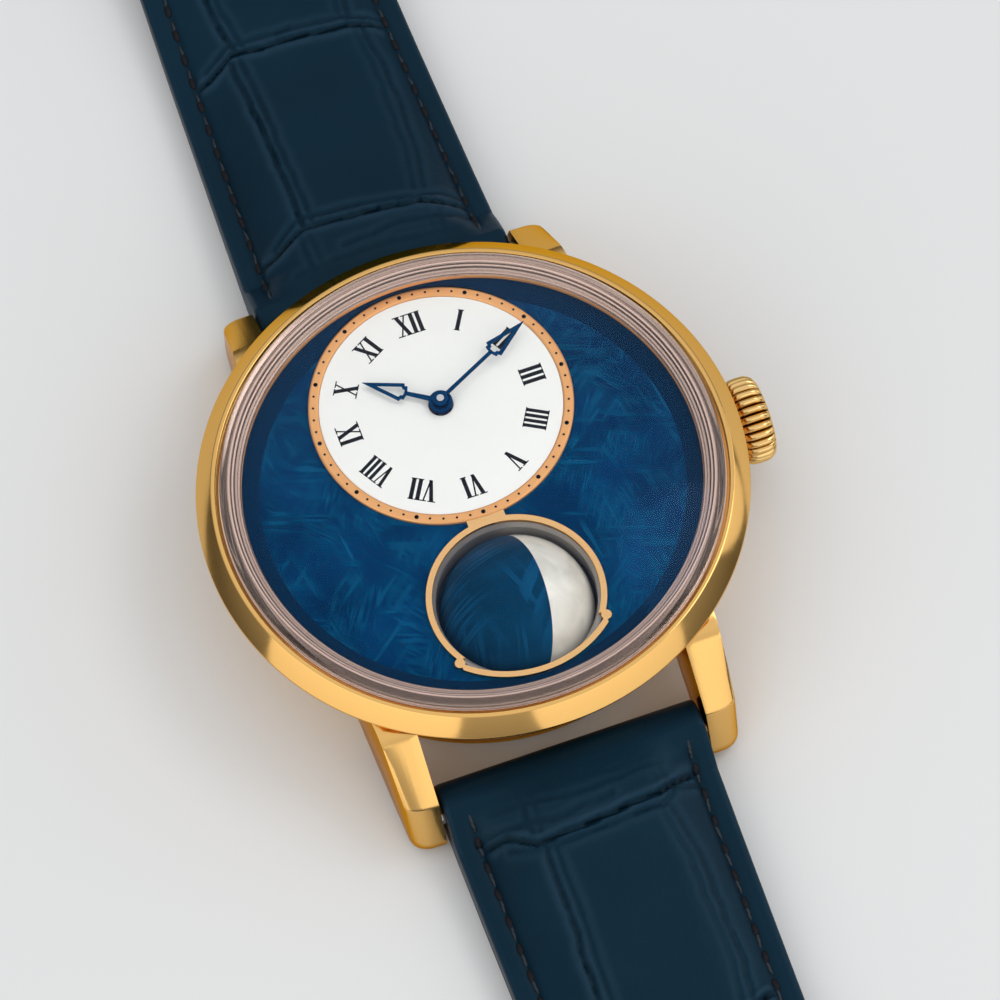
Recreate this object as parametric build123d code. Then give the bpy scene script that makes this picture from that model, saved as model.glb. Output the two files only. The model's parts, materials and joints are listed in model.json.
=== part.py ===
from build123d import *
import math
import os

# A wristwatch with a ball moon, laid open on its back.
# Millimetres. +Z leaves the dial, +Y is 12 o'clock, +X is 3 o'clock.
# The origin is the centre of the back, at the height of its outer face.

# The movement, dial and hands are drawn at radius 18.5 and follow the radius set here
movement_r = 18.5
fit = movement_r / 18.5

# Case
cavity_gap = 0.1
case_wall = 2.2
case_height = 9.2 * fit
bezel_overhang = 1.2
bezel_ridge_inset = 1.38
bezel_ridge_height = 1.45
crystal_seat_height = 1.1

# Front crystal
crystal_wall = 1.4
crystal_gap = 0.1
crystal_side_height = 1.2
crystal_rise = 3.2
crystal_thickness = 1.3
dome_shares = (1.0, 0.66, 0.3)
ceiling_r_share = 0.8
ceiling_gap = 0.3

# Back
back_ring_height = 1.2
back_ring_inset = 1.0
back_crystal_r = 16.0 * fit
back_crystal_thickness = 1.1
back_crystal_gap = 0.03

# Lugs and spring bars
strap_width = 22.0
lug_gap = 0.1
lug_width = 3.0
lug_tip_width = 2.4
lug_root_seat = 0.3
lug_top_set = 2.8
lug_shoulder_reach = 2.5
lug_toe_reach = 3.3
lug_tip_reach = 3.8
lug_shoulder_z = 6.0
lug_top_drop = 0.5
lug_tip_z = 1.7
lug_floor_z = 0.7
bar_z = 3.2
bar_r = 0.55
bar_gap = 0.05
bar_seat = 1.0

# Crown and stem
crown_z = 6.0 * fit
crown_r = 3.6
crown_length = 3.0
crown_stand = 1.15
crown_flutes = 28
crown_flute_depth = 0.28
crown_ridge_share = 0.5
crown_socket_depth = 1.2
tube_r = 1.5
tube_bore_r = 0.75
tube_stand = 1.7
tube_gap = 0.08
stem_r = 0.5
stem_gap = 0.05
stem_inner_x = 11.3 * fit
stem_head_depth = 0.9

# Dial
dial_thickness = 0.8 * fit
dial_level = 10.1 * fit
flange_inner_r = 16.85 * fit
flange_rise = 0.8 * fit
subdial_y = 7.65 * fit
disc_r = 9.7 * fit
disc_thickness = 0.22 * fit
ring_width = 0.83 * fit
ring_thickness = 0.35 * fit
seat_gap = 0.02
flange_cut_gap = 0.1
post_hole_r = 1.0 * fit

# Moon
moon_r = 6.0 * fit
moon_y = -10.3 * fit
moon_floor_gap = 0.2
moon_bands = 8
moon_turn = 20.0
moon_arbor_r = 0.35 * fit
moon_bore_gap = 0.05
moon_pivot_seat = 0.7 * fit
well_r = 6.6 * fit
well_wall = 0.25 * fit
well_gap = 0.03
frame_r = 7.1 * fit
frame_width = 0.5 * fit
frame_thickness = 0.35 * fit
frame_end_angle = 31.0
frame_low_r = 9.15 * fit
frame_low_y = -8.0 * fit
frame_low_x = 6.0 * fit
ear_r = 0.42 * fit
ear_x = 6.05 * fit
ear_y = -14.25 * fit
neck_width = 3.1 * fit

# Hands
minute_length = 8.9 * fit
hour_length = 6.3 * fit
hand_thickness = 0.12 * fit
hand_gap = 0.3
minute_hub_r = 0.8 * fit
hour_hub_r = 0.95 * fit
hand_stem_width = 0.34 * fit
minute_frame_share = 0.61
hour_frame_share = 0.45
minute_frame_width = 1.6 * fit
hour_frame_width = 1.35 * fit
hand_rim = 0.24 * fit
hand_step = 0.22 * fit
minute_angle = 60.0
hour_angle = 305.0
post_cap_r = 0.3 * fit
post_cap_height = 0.2 * fit

# Motion work under the dial
cannon_teeth = 6
cannon_wheel_teeth = 18
minute_pinion_teeth = 6
hour_teeth = 24
motion_distance = 3.4 * fit
motion_angle = 215.0
motion_thickness = 0.3 * fit
motion_level_gap = 0.12
motion_recess = 1.25 * fit
motion_margin = 0.3 * fit
cannon_r = 0.55 * fit
hour_pipe_r = 0.85 * fit
pipe_gap = 0.04
minute_post_r = 0.25 * fit

# Movement
plate_thickness = 2.6 * fit
bridge_thickness = 0.9 * fit
bridge_z = 2.9 * fit
bridge_foot_r = 1.3 * fit
bridge_foot_inset = 0.3 * fit
wheel_thickness = 0.28 * fit
arbor_r = 0.36 * fit
pivot_gap = 0.04
tooth_root_share = 0.72
tooth_tip_height = 1.0
tooth_root_depth = 1.25
rim_share = 0.8
hub_share = 0.3
spoke_angle = 14.0

# Barrel and winding
barrel_teeth = 36
barrel_pinion_teeth = 8
barrel_distance = 6.7 * fit
barrel_angle = -9.0
drum_height = 1.8 * fit
drum_gap = 0.2
drum_share = 0.88
barrel_arbor_r = 0.8 * fit
ratchet_teeth = 24
crown_wheel_teeth = 14
winding_module = 0.39 * fit
winding_level = 2.2 * fit
winding_thickness = 0.6 * fit
crown_wheel_height = 1.35 * fit
crown_wheel_post_r = 0.8 * fit
crown_wheel_hole_gap = 0.25
winding_pinion_teeth = 12
winding_pinion_r = 2.25 * fit
winding_pinion_length = 1.1 * fit
click_length = 2.6 * fit
click_width = 0.9 * fit
click_angle = 62.0
click_lean = 75.0
click_pivot_r = 0.3 * fit
click_gap = 0.12

# Going train
centre_teeth = 36
third_pinion_teeth = 6
centre_distance = 5.2 * fit
third_angle = 200.0
third_teeth = 30
fourth_pinion_teeth = 6
third_distance = 4.3 * fit
fourth_angle = 235.0
fourth_teeth = 30
escape_pinion_teeth = 6
fourth_distance = 3.95 * fit
escape_angle = 180.0
centre_wheel_level = 4.05 * fit
third_wheel_level = 5.2 * fit
fourth_wheel_level = 6.05 * fit
escape_level = 5.15 * fit

# Bridges, as shares of their reach from the centre of the movement
barrel_bridge_shares = (
    (-0.08, -0.14), (0.245, -0.14), (0.435, -0.24), (1.05, -0.24), (1.05, 1.05), (-0.08, 1.05),
)
train_bridge_shares = (
    (-0.5, 0.9), (-0.17, 0.34), (-0.34, 0.04), (-0.68, 0.04), (-1.05, 0.18), (-1.05, 0.9),
)
train_window_shares = (
    (-0.58, 0.58), (-0.37, 0.36), (-0.45, 0.24), (-0.62, 0.24), (-0.8, 0.36),
)
barrel_foot_angles = (84.0, -9.0)
train_foot_angles = (130.0, 166.0)

# Escapement
escape_teeth = 15
escape_r = 2.2 * fit
escape_root_share = 0.72
escape_lean_share = 0.2
fork_distance = 3.1 * fit
fork_width = 0.42 * fit
fork_arm_share = 0.62
stone_width = 0.3 * fit
stone_gap = 0.09
fork_swing = 6.0
fork_notch = 0.34 * fit
fork_horn = 0.5 * fit
fork_thickness = 0.22 * fit
balance_x = -10.9 * fit
balance_y = -4.5 * fit
balance_r = 3.8 * fit
balance_rim = 0.45 * fit
balance_level = 3.95 * fit
balance_thickness = 0.42 * fit
balance_arm_width = 0.7 * fit
roller_r = 0.85 * fit
roller_thickness = 0.15 * fit
spring_inner_r = 0.9 * fit
spring_pitch = 0.6 * fit
spring_turns = 3
spring_strip = 0.05 * fit
spring_height = 0.2 * fit
spring_level = 3.5 * fit
spring_checks = 24
cock_width = 2.8 * fit
cock_thickness = 0.7 * fit
cock_z = 2.5 * fit
cock_foot_x = -13.0 * fit
cock_foot_y = -9.8 * fit
pallet_bridge_width = 1.5 * fit
pallet_bridge_z = 4.55 * fit
pallet_bridge_thickness = 0.3 * fit
pallet_foot_x = -15.6 * fit
pallet_foot_y = -0.4 * fit

# Strap
short_length = 75.0
long_length = 116.0
strap_taper = 4.0
strap_case_gap = 0.4
strap_side_gap = 0.15
strap_end_r = 1.9
strap_thin = 2.6
strap_top_shares = ((0.0, 0.0), (0.083, 0.13), (0.26, -0.18), (0.52, -0.66), (1.0, -1.0))
strap_settle = 42.0
strap_floor_reach = 9.0
strap_rise = 1.2
strap_rise_start = 26.0
strap_rise_end = 37.0
tip_length = 9.0
tip_width_share = 0.1
strap_tip_share = 0.3
slot_count = 6
slot_pitch = 6.5
slot_start = 26.0
slot_width = 1.4
slot_length = 2.4

# Keepers
keeper_width = 5.5
keeper_wall = 0.9
keeper_gap = 0.25
keeper_room = 2.9
fixed_keeper_y = 8.0
sliding_keeper_y = 24.0
keeper_travel = 9.0

# Buckle
buckle_bar_r = 0.6
buckle_end_r = 1.6
buckle_arm = 1.5
buckle_thickness = 1.8
buckle_reach = 11.0
buckle_bow = 1.8
buckle_gap = 0.2
tongue_width = 1.6
tongue_thickness = 0.8
tongue_ring_r = 1.15
tongue_slot_gap = 0.25
tongue_overhang = 0.5
tongue_rest_gap = 0.06

# How far a cut runs past the face it leaves
overrun = 0.5

# Worked out from the sizes above
cavity_r = movement_r + cavity_gap
case_r = cavity_r + case_wall
case_foot_z = back_ring_height
case_top_z = case_foot_z + case_height
bezel_r = case_r + bezel_overhang
bezel_ridge_r = bezel_r - bezel_ridge_inset
bezel_ridge_z = case_top_z + bezel_ridge_height
crystal_r = cavity_r + crystal_wall
crystal_seat_r = crystal_r + crystal_gap
crystal_seat_z = case_top_z + crystal_seat_height
crystal_edge_z = crystal_seat_z + crystal_side_height
back_ring_r = case_r - back_ring_inset
crown_inner_x = case_r + crown_stand
dial_back_z = dial_level - dial_thickness
plate_bottom_z = dial_back_z - plate_thickness
moon_z = back_crystal_thickness + moon_floor_gap + moon_r
ceiling_z = moon_z + moon_r + ceiling_gap
well_bore_r = well_r + well_wall + well_gap
well_low_z = moon_z + moon_arbor_r + well_wall
moon_arbor_reach = well_bore_r + moon_pivot_seat
bridge_reach = movement_r - cavity_gap
bridge_foot_reach = bridge_reach - bridge_foot_r - bridge_foot_inset
bridge_inner_z = bridge_z + bridge_thickness
ring_r = disc_r + seat_gap + ring_width
ring_top_z = dial_level + ring_thickness
hour_wheel_z = dial_back_z - motion_thickness - motion_level_gap
minute_wheel_z = hour_wheel_z - motion_thickness - motion_level_gap
motion_floor_z = dial_back_z - motion_recess
hour_hand_z = ring_top_z + hand_gap
minute_hand_z = hour_hand_z + hand_thickness + hand_gap
lug_inner_x = strap_width / 2 + lug_gap
lug_outer_x = lug_inner_x + lug_width
lug_root_y = math.sqrt(case_r ** 2 - lug_outer_x ** 2) - lug_root_seat
lug_top_y = case_r - lug_top_set
lug_shoulder_y = case_r + lug_shoulder_reach
lug_toe_y = case_r + lug_toe_reach
lug_tip_y = case_r + lug_tip_reach
bar_y = case_r + strap_end_r + strap_case_gap
strap_end_width = strap_width - strap_taper
strap_middle_z = strap_rise + strap_thin / 2
buckle_y = bar_y + short_length
buckle_inner_x = strap_end_width / 2 + buckle_gap
buckle_outer_x = buckle_inner_x + buckle_arm
drum_top_z = plate_bottom_z - drum_gap
centre = (0, subdial_y)
moon_middle = (0, moon_y)


def along(start, distance, angle):
    """The point at a distance and an angle in degrees from another."""
    turn = math.radians(angle)
    return (start[0] + distance * math.cos(turn), start[1] + distance * math.sin(turn))


def direction(start, end):
    """The angle in degrees from one point to another."""
    return math.degrees(math.atan2(end[1] - start[1], end[0] - start[0]))


barrel_at = along(centre, barrel_distance, barrel_angle)
third_at = along(centre, centre_distance, third_angle)
fourth_at = along(third_at, third_distance, fourth_angle)
escape_at = along(fourth_at, fourth_distance, escape_angle)
balance_at = (balance_x, balance_y)
fork_turn = direction(escape_at, balance_at)
fork_at = along(escape_at, fork_distance, fork_turn)
minute_wheel_at = along(centre, motion_distance, motion_angle)
crown_wheel_r = winding_module * crown_wheel_teeth / 2
ratchet_r = winding_module * ratchet_teeth / 2
crown_wheel_x = barrel_at[0] + math.sqrt((crown_wheel_r + ratchet_r) ** 2 - barrel_at[1] ** 2)
crown_wheel_at = (crown_wheel_x, 0)
ratchet_turn = direction(barrel_at, crown_wheel_at)
winding_pinion_x = crown_wheel_x + crown_wheel_r
click_tip_at = along(barrel_at, ratchet_r + winding_module + click_gap, click_angle)
click_at = along(click_tip_at, click_length, click_angle + click_lean)


def disc(radius, low, high, at=(0, 0)):
    """A round piece standing on Z."""
    rod = Cylinder(radius, high - low, align=(Align.CENTER, Align.CENTER, Align.MIN))
    return Pos(at[0], at[1], low) * rod


def pin_x(radius, low, high, y=0.0, z=0.0):
    """A round piece along X."""
    rod = Cylinder(radius, high - low, align=(Align.CENTER, Align.CENTER, Align.MIN))
    return Pos(low, y, z) * Rot(0, 90, 0) * rod


def pin_y(radius, low, high, x=0.0, z=0.0):
    """A round piece along Y."""
    rod = Cylinder(radius, high - low, align=(Align.CENTER, Align.CENTER, Align.MAX))
    return Pos(x, low, z) * Rot(90, 0, 0) * rod


def block(low, high):
    """A box between two corners."""
    size = [high[i] - low[i] for i in range(3)]
    middle = [(high[i] + low[i]) / 2 for i in range(3)]
    return Pos(*middle) * Box(*size)


def plate(points, low, high, at=(0, 0)):
    """A flat piece with straight edges, from one height to another."""
    outline = Polyline(*points, close=True)
    return Pos(at[0], at[1], low) * extrude(make_face(outline), high - low, dir=(0, 0, 1))


def turned(points, arc=360.0):
    """A piece turned about Z from its half section of radius and height."""
    outline = Polyline(*[(radius, 0, z) for radius, z in points], close=True)
    return revolve(make_face(outline), Axis.Z, arc)


def side_plate(points, low_x, high_x):
    """A flat piece standing across X, from its outline in Y and Z."""
    outline = Polyline(*[(low_x, y, z) for y, z in points], close=True)
    return extrude(make_face(outline), high_x - low_x, dir=(1, 0, 0))


def round_arm(start, end, width, low, high):
    """A flat arm with round ends between two points."""
    arm = SlotCenterToCenter(math.dist(start, end), width)
    body = Rot(0, 0, direction(start, end)) * extrude(arm, high - low, dir=(0, 0, 1))
    return Pos((start[0] + end[0]) / 2, (start[1] + end[1]) / 2, low) * body


def tooth_points(teeth, pitch_r, module, phase):
    """The outline of a toothed wheel, with one tooth centred on the phase."""
    pitch = 360 / teeth
    tip_r = pitch_r + tooth_tip_height * module
    root_r = pitch_r - tooth_root_depth * module
    points = []
    for tooth in range(teeth):
        middle = phase + tooth * pitch
        half = pitch * tooth_root_share / 2
        points.append(along((0, 0), root_r, middle - half))
        points.append(along((0, 0), tip_r, middle))
        points.append(along((0, 0), root_r, middle + half))
    return points


def gear(teeth, mate_teeth, distance, phase, low, high, at):
    """A toothed wheel that meets a mate at a distance."""
    module = 2 * distance / (teeth + mate_teeth)
    return plate(tooth_points(teeth, module * teeth / 2, module, phase), low, high, at)


def gap_phase(angle, teeth):
    """The phase that sets a gap at the angle that points back to the mate."""
    return angle + 180 + 180 / teeth


def opened(wheel, radius, low, high, at, phase):
    """Cut four windows in a wheel, leaving its rim, spokes and hub."""
    rim_r = radius * rim_share
    hub_r = radius * hub_share
    for spoke in range(4):
        first = phase + spoke * 90 + spoke_angle
        last = phase + spoke * 90 + 90 - spoke_angle
        points = [along((0, 0), rim_r, angle) for angle in (first, (first + last) / 2, last)]
        points.append(along((0, 0), hub_r, (first + last) / 2))
        wheel -= plate(points, low - overrun, high + overrun, at)
    return wheel


def train_wheel(teeth, mate_teeth, distance, angle, level, at):
    """A spoked wheel of the going train."""
    high = level + wheel_thickness
    wheel = gear(teeth, mate_teeth, distance, angle, level, high, at)
    radius = distance * teeth / (teeth + mate_teeth)
    return opened(wheel, radius, level, high, at, angle)


def case_middle():
    """The case band with its four lugs, bored for the crown tube and the spring bars."""
    band = disc(case_r, case_foot_z, case_top_z)
    lug_top_z = case_top_z - lug_top_drop
    lug = side_plate(
        [
            (lug_root_y, case_foot_z), (lug_root_y, lug_top_z), (lug_top_y, lug_top_z),
            (lug_shoulder_y, lug_shoulder_z), (lug_tip_y, lug_tip_z), (lug_toe_y, lug_floor_z),
            (case_r, lug_floor_z), (case_r, case_foot_z),
        ],
        lug_inner_x, lug_outer_x,
    )
    lug -= plate(
        [
            (lug_outer_x, lug_top_y), (lug_outer_x + overrun, lug_top_y),
            (lug_outer_x + overrun, lug_tip_y + overrun), (lug_inner_x + lug_tip_width, lug_tip_y + overrun),
        ],
        0, case_top_z,
    )
    lug -= pin_x(bar_r, lug_inner_x - overrun, lug_inner_x + bar_seat, bar_y, bar_z)
    for side in (lug, mirror(lug, Plane.YZ)):
        band += side
        band += mirror(side, Plane.XZ)
    band -= disc(cavity_r, 0, case_top_z + overrun)
    return band - pin_x(tube_r, cavity_r - overrun, case_r + overrun, 0, crown_z)


def bezel():
    """The sloped ring that holds the crystal on the case."""
    return turned([
        (cavity_r, case_top_z), (bezel_r, case_top_z), (bezel_ridge_r, bezel_ridge_z),
        (crystal_seat_r, bezel_ridge_z), (crystal_seat_r, crystal_seat_z),
        (cavity_r, crystal_seat_z),
    ])


def dome_points(edge_r, edge_z, rise, shares):
    """Points of a shallow dome at shares of its edge radius."""
    sphere_r = (edge_r ** 2 + rise ** 2) / (2 * rise)
    low_z = edge_z + rise - sphere_r
    return [(edge_r * share, low_z + math.sqrt(sphere_r ** 2 - (edge_r * share) ** 2)) for share in shares]


def front_crystal():
    """The tall domed crystal, a straight side under a dome."""
    section = [(cavity_r, crystal_seat_z), (crystal_r, crystal_seat_z)]
    section += dome_points(crystal_r, crystal_edge_z, crystal_rise, dome_shares)
    section.append((0, section[-1][1]))
    section += [(0, ceiling_z), (cavity_r * ceiling_r_share, ceiling_z)]
    section.append((cavity_r, crystal_edge_z - crystal_thickness / 2))
    return turned(section)


def back_ring():
    """The ring that closes the back and holds its crystal."""
    body = disc(back_ring_r, 0, back_ring_height)
    return body - disc(back_crystal_r + back_crystal_gap, -overrun, back_ring_height + overrun)


def back_crystal():
    """The flat crystal over the movement, flush with the ring."""
    return disc(back_crystal_r, 0, back_crystal_thickness)


def crown():
    """The fluted crown, hollow over its tube and bored for the stem."""
    pitch = 360 / crown_flutes
    ridge = pitch * crown_ridge_share / 2
    points = []
    for flute in range(crown_flutes):
        middle = flute * pitch
        points.append(along((0, 0), crown_r, middle - ridge))
        points.append(along((0, 0), crown_r, middle + ridge))
        points.append(along((0, 0), crown_r - crown_flute_depth, middle + pitch / 2))
    body = plate(points, 0, crown_length)
    body -= disc(tube_r + tube_gap, -overrun, crown_socket_depth)
    body -= disc(stem_r, 0, crown_socket_depth + stem_head_depth)
    return Pos(crown_inner_x, 0, crown_z) * Rot(0, 90, 0) * body


def crown_tube():
    """The tube in the case wall that the crown runs on."""
    outer_x = case_r + tube_stand
    tube = pin_x(tube_r, cavity_r, outer_x, 0, crown_z)
    return tube - pin_x(tube_bore_r, cavity_r - overrun, outer_x + overrun, 0, crown_z)


def winding_stem():
    """The winding stem, from the crown to the winding pinion."""
    end_x = crown_inner_x + crown_socket_depth + stem_head_depth
    return pin_x(stem_r, stem_inner_x, end_x, 0, crown_z)


def winding_pinion():
    """The pinion on the stem that turns the crown wheel."""
    module = winding_pinion_r / (winding_pinion_teeth / 2 + tooth_tip_height)
    pitch_r = module * winding_pinion_teeth / 2
    points = tooth_points(winding_pinion_teeth, pitch_r, module, 180 / winding_pinion_teeth)
    body = plate(points, 0, winding_pinion_length)
    body -= disc(stem_r + stem_gap, -overrun, winding_pinion_length + overrun)
    low_x = winding_pinion_x - winding_pinion_length / 2
    return Pos(low_x, 0, crown_z) * Rot(0, 90, 0) * body


def dial_plate():
    """The stone plate, open over the moon and round the hand post."""
    body = disc(movement_r, dial_back_z, dial_level)
    body -= disc(well_bore_r, dial_back_z - overrun, dial_level + overrun, moon_middle)
    return body - disc(post_hole_r, dial_back_z - overrun, dial_level + overrun, centre)


def dial_flange():
    """The sloped rim over the edge of the dial, cut round the hour disc."""
    body = turned([
        (flange_inner_r, dial_level), (movement_r, dial_level),
        (movement_r, dial_level + flange_rise),
    ])
    cut_high = dial_level + flange_rise + overrun
    body -= disc(frame_low_r + flange_cut_gap, dial_level - overrun, cut_high, (0, frame_low_y))
    return body - disc(ring_r + flange_cut_gap, dial_level - overrun, cut_high, centre)


def subdial_disc():
    """The white disc of hours and minutes."""
    body = disc(disc_r, dial_level, dial_level + disc_thickness, centre)
    return body - disc(post_hole_r, dial_level - overrun, ring_top_z + overrun, centre)


def subdial_ring():
    """The gold ring round the disc."""
    body = disc(ring_r, dial_level, ring_top_z, centre)
    return body - disc(disc_r + seat_gap, dial_level - overrun, ring_top_z + overrun, centre)


def moon_frame():
    """The raised frame of the moon: a round top, two ears and a flatter foot."""
    low, high = dial_level, dial_level + frame_thickness
    inner_r = frame_r - frame_width
    cut_y = moon_y - frame_r * math.sin(math.radians(frame_end_angle))
    hoop = disc(frame_r, low, high, moon_middle)
    hoop -= disc(inner_r, low - overrun, high + overrun, moon_middle)
    hoop -= block((-bezel_r, -bezel_r, low - overrun), (bezel_r, cut_y, high + overrun))
    foot = disc(frame_low_r, low, high, (0, frame_low_y))
    foot -= disc(frame_low_r - frame_width, low - overrun, high + overrun, (0, frame_low_y))
    foot = foot & block((-frame_low_x, -bezel_r, low), (frame_low_x, cut_y, high))
    body = hoop + foot
    for side in (-1, 1):
        body += disc(ear_r, low, high, (side * ear_x, ear_y))
    half = neck_width / 2
    top_y = subdial_y - ring_r
    neck = block((-half, moon_y + inner_r, low), (half, top_y + frame_width, high))
    neck -= disc(inner_r, low - overrun, high + overrun, moon_middle)
    neck -= disc(ring_r + seat_gap, low - overrun, high + overrun, centre)
    return body + neck


def moon_well():
    """The wall of the well round the moon, above its arbor."""
    body = disc(well_r + well_wall, well_low_z, dial_level, moon_middle)
    return body - disc(well_r, well_low_z - overrun, dial_level + overrun, moon_middle)


def moon_half(side):
    """Half of the moon ball, turned in bands about the bore for its arbor."""
    bore_z = math.sqrt(moon_r ** 2 - moon_arbor_r ** 2)
    section = [(moon_arbor_r, -bore_z)]
    for band in range(1, moon_bands):
        section.append(along((0, 0), moon_r, 180 * band / moon_bands - 90))
    section.append((moon_arbor_r, bore_z))
    half = Rot(0, 0, -90 * side) * turned(section, 180)
    return Pos(0, moon_y, moon_z) * Rot(0, moon_turn, 0) * Rot(-90, 0, 0) * half


def moon_arbor():
    """The arbor that carries the moon across the plate."""
    return pin_y(moon_arbor_r, moon_y - moon_arbor_reach, moon_y + moon_arbor_reach, 0, moon_z)


def hand(length, hub_r, frame_share, frame_width, low, angle, bore_r):
    """A pierced hand: hub, thin stem, stepped shoulder and open point."""
    high = low + hand_thickness
    half = frame_width / 2
    stem_half = hand_stem_width / 2
    shoulder = length * frame_share
    back = shoulder - hand_step
    upper = [
        (0, stem_half), (back, stem_half), (back, half - hand_step),
        (shoulder, half - hand_step), (shoulder, half),
    ]
    lower = [(x, -y) for x, y in reversed(upper)]
    body = plate(upper + [(length, 0)] + lower, low, high)
    slope = math.atan2(half, length - shoulder)
    tip_x = length - hand_rim / math.sin(slope)
    open_x = shoulder + hand_rim / 2
    open_half = (tip_x - open_x) * math.tan(slope)
    body -= plate([(open_x, -open_half), (tip_x, 0), (open_x, open_half)], low - overrun, high + overrun)
    body += disc(hub_r, low, high)
    body -= disc(bore_r, low - overrun, high + overrun)
    return Pos(centre[0], centre[1], 0) * Rot(0, 0, 90 - angle) * body


def minute_hand():
    """The minute hand, at ten past."""
    return hand(
        minute_length, minute_hub_r, minute_frame_share, minute_frame_width,
        minute_hand_z, minute_angle, cannon_r,
    )


def hour_hand():
    """The hour hand, just past ten."""
    return hand(
        hour_length, hour_hub_r, hour_frame_share, hour_frame_width,
        hour_hand_z, hour_angle, hour_pipe_r,
    )


def cannon_pinion():
    """The cannon pinion, whose pipe carries the minute hand."""
    body = gear(
        cannon_teeth, cannon_wheel_teeth, motion_distance, motion_angle,
        minute_wheel_z, minute_wheel_z + motion_thickness, centre,
    )
    top_z = minute_hand_z + hand_thickness
    body += disc(cannon_r, minute_wheel_z, top_z, centre)
    return body + disc(post_cap_r, top_z, top_z + post_cap_height, centre)


def hour_wheel():
    """The hour wheel, whose pipe carries the hour hand."""
    top_z = hour_hand_z + hand_thickness
    body = gear(
        hour_teeth, minute_pinion_teeth, motion_distance, gap_phase(motion_angle + 180, hour_teeth),
        hour_wheel_z, hour_wheel_z + motion_thickness, centre,
    )
    body += disc(hour_pipe_r, hour_wheel_z, top_z, centre)
    return body - disc(cannon_r + pipe_gap, hour_wheel_z - overrun, top_z + overrun, centre)


def minute_wheel():
    """The minute wheel and its pinion, on a post of the plate."""
    body = gear(
        cannon_wheel_teeth, cannon_teeth, motion_distance, gap_phase(motion_angle, cannon_wheel_teeth),
        minute_wheel_z, minute_wheel_z + motion_thickness, minute_wheel_at,
    )
    body += gear(
        minute_pinion_teeth, hour_teeth, motion_distance, motion_angle + 180,
        minute_wheel_z + motion_thickness, hour_wheel_z + motion_thickness, minute_wheel_at,
    )
    low, high = minute_wheel_z - overrun, dial_back_z + overrun
    return body - disc(minute_post_r + pivot_gap, low, high, minute_wheel_at)


def main_plate():
    """The main plate, open for the moon, the motion work and the winding pinion."""
    low, high = plate_bottom_z - overrun, dial_back_z + overrun
    body = disc(movement_r, plate_bottom_z, dial_back_z)
    body -= disc(well_bore_r, low, high, moon_middle)
    wheel_reach = motion_distance * (1 + (cannon_wheel_teeth + 2) / (cannon_teeth + cannon_wheel_teeth))
    body -= disc(wheel_reach + motion_margin, motion_floor_z, high, centre)
    body += disc(minute_post_r, motion_floor_z, hour_wheel_z + motion_thickness, minute_wheel_at)
    body -= disc(arbor_r + pivot_gap, low, motion_floor_z + overrun, centre)
    slot_half = winding_pinion_r + motion_margin
    slot_length = winding_pinion_length / 2 + motion_margin
    body -= block(
        (winding_pinion_x - slot_length, -slot_half, low),
        (winding_pinion_x + slot_length, slot_half, crown_z + slot_half),
    )
    half = moon_arbor_r + moon_bore_gap
    reach = moon_arbor_reach + moon_bore_gap
    return body - block((-half, moon_y - reach, low), (half, moon_y + reach, moon_z + half))


def barrel_drum():
    """The going barrel, a closed drum under the first teeth of the train."""
    low = drum_top_z - drum_height
    teeth_z = drum_top_z - 2 * wheel_thickness
    body = gear(
        barrel_teeth, barrel_pinion_teeth, barrel_distance, barrel_angle + 180,
        teeth_z, drum_top_z, barrel_at,
    )
    radius = barrel_distance * barrel_teeth / (barrel_teeth + barrel_pinion_teeth)
    body += disc(radius * drum_share, low, teeth_z, barrel_at)
    return body - disc(barrel_arbor_r + pivot_gap, low - overrun, drum_top_z + overrun, barrel_at)


def barrel_arbor():
    """The arbor of the barrel, squared to its ratchet wheel."""
    return disc(barrel_arbor_r, winding_level, plate_bottom_z - pivot_gap, barrel_at)


def ratchet_wheel():
    """The ratchet wheel on the barrel bridge."""
    high = winding_level + winding_thickness
    points = tooth_points(ratchet_teeth, ratchet_r, winding_module, ratchet_turn)
    body = plate(points, winding_level, high, barrel_at)
    return body - disc(barrel_arbor_r, winding_level - overrun, high + overrun, barrel_at)


def crown_wheel():
    """The crown wheel, between the winding pinion and the ratchet wheel."""
    high = winding_level + crown_wheel_height
    phase = gap_phase(ratchet_turn, crown_wheel_teeth)
    points = tooth_points(crown_wheel_teeth, crown_wheel_r, winding_module, phase)
    body = plate(points, winding_level, high, crown_wheel_at)
    bore_r = crown_wheel_post_r + pivot_gap
    return body - disc(bore_r, winding_level - overrun, high + overrun, crown_wheel_at)


def crown_wheel_post():
    """The post that the crown wheel turns on."""
    return disc(crown_wheel_post_r, winding_level, plate_bottom_z, crown_wheel_at)


def click():
    """The click that stops the ratchet wheel from turning back."""
    high = winding_level + winding_thickness
    half = click_width / 2
    outline = [(0, -half), (click_length, 0), (click_length - click_width, half), (0, half)]
    body = Rot(0, 0, direction(click_at, click_tip_at)) * plate(outline, winding_level, high)
    body = Pos(click_at[0], click_at[1], 0) * body + disc(half, winding_level, high, click_at)
    return body - disc(click_pivot_r + pivot_gap, winding_level - overrun, high + overrun, click_at)


def bridge_outline(shares):
    """Points of a bridge from shares of its reach."""
    return [(bridge_reach * x, bridge_reach * y) for x, y in shares]


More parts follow.
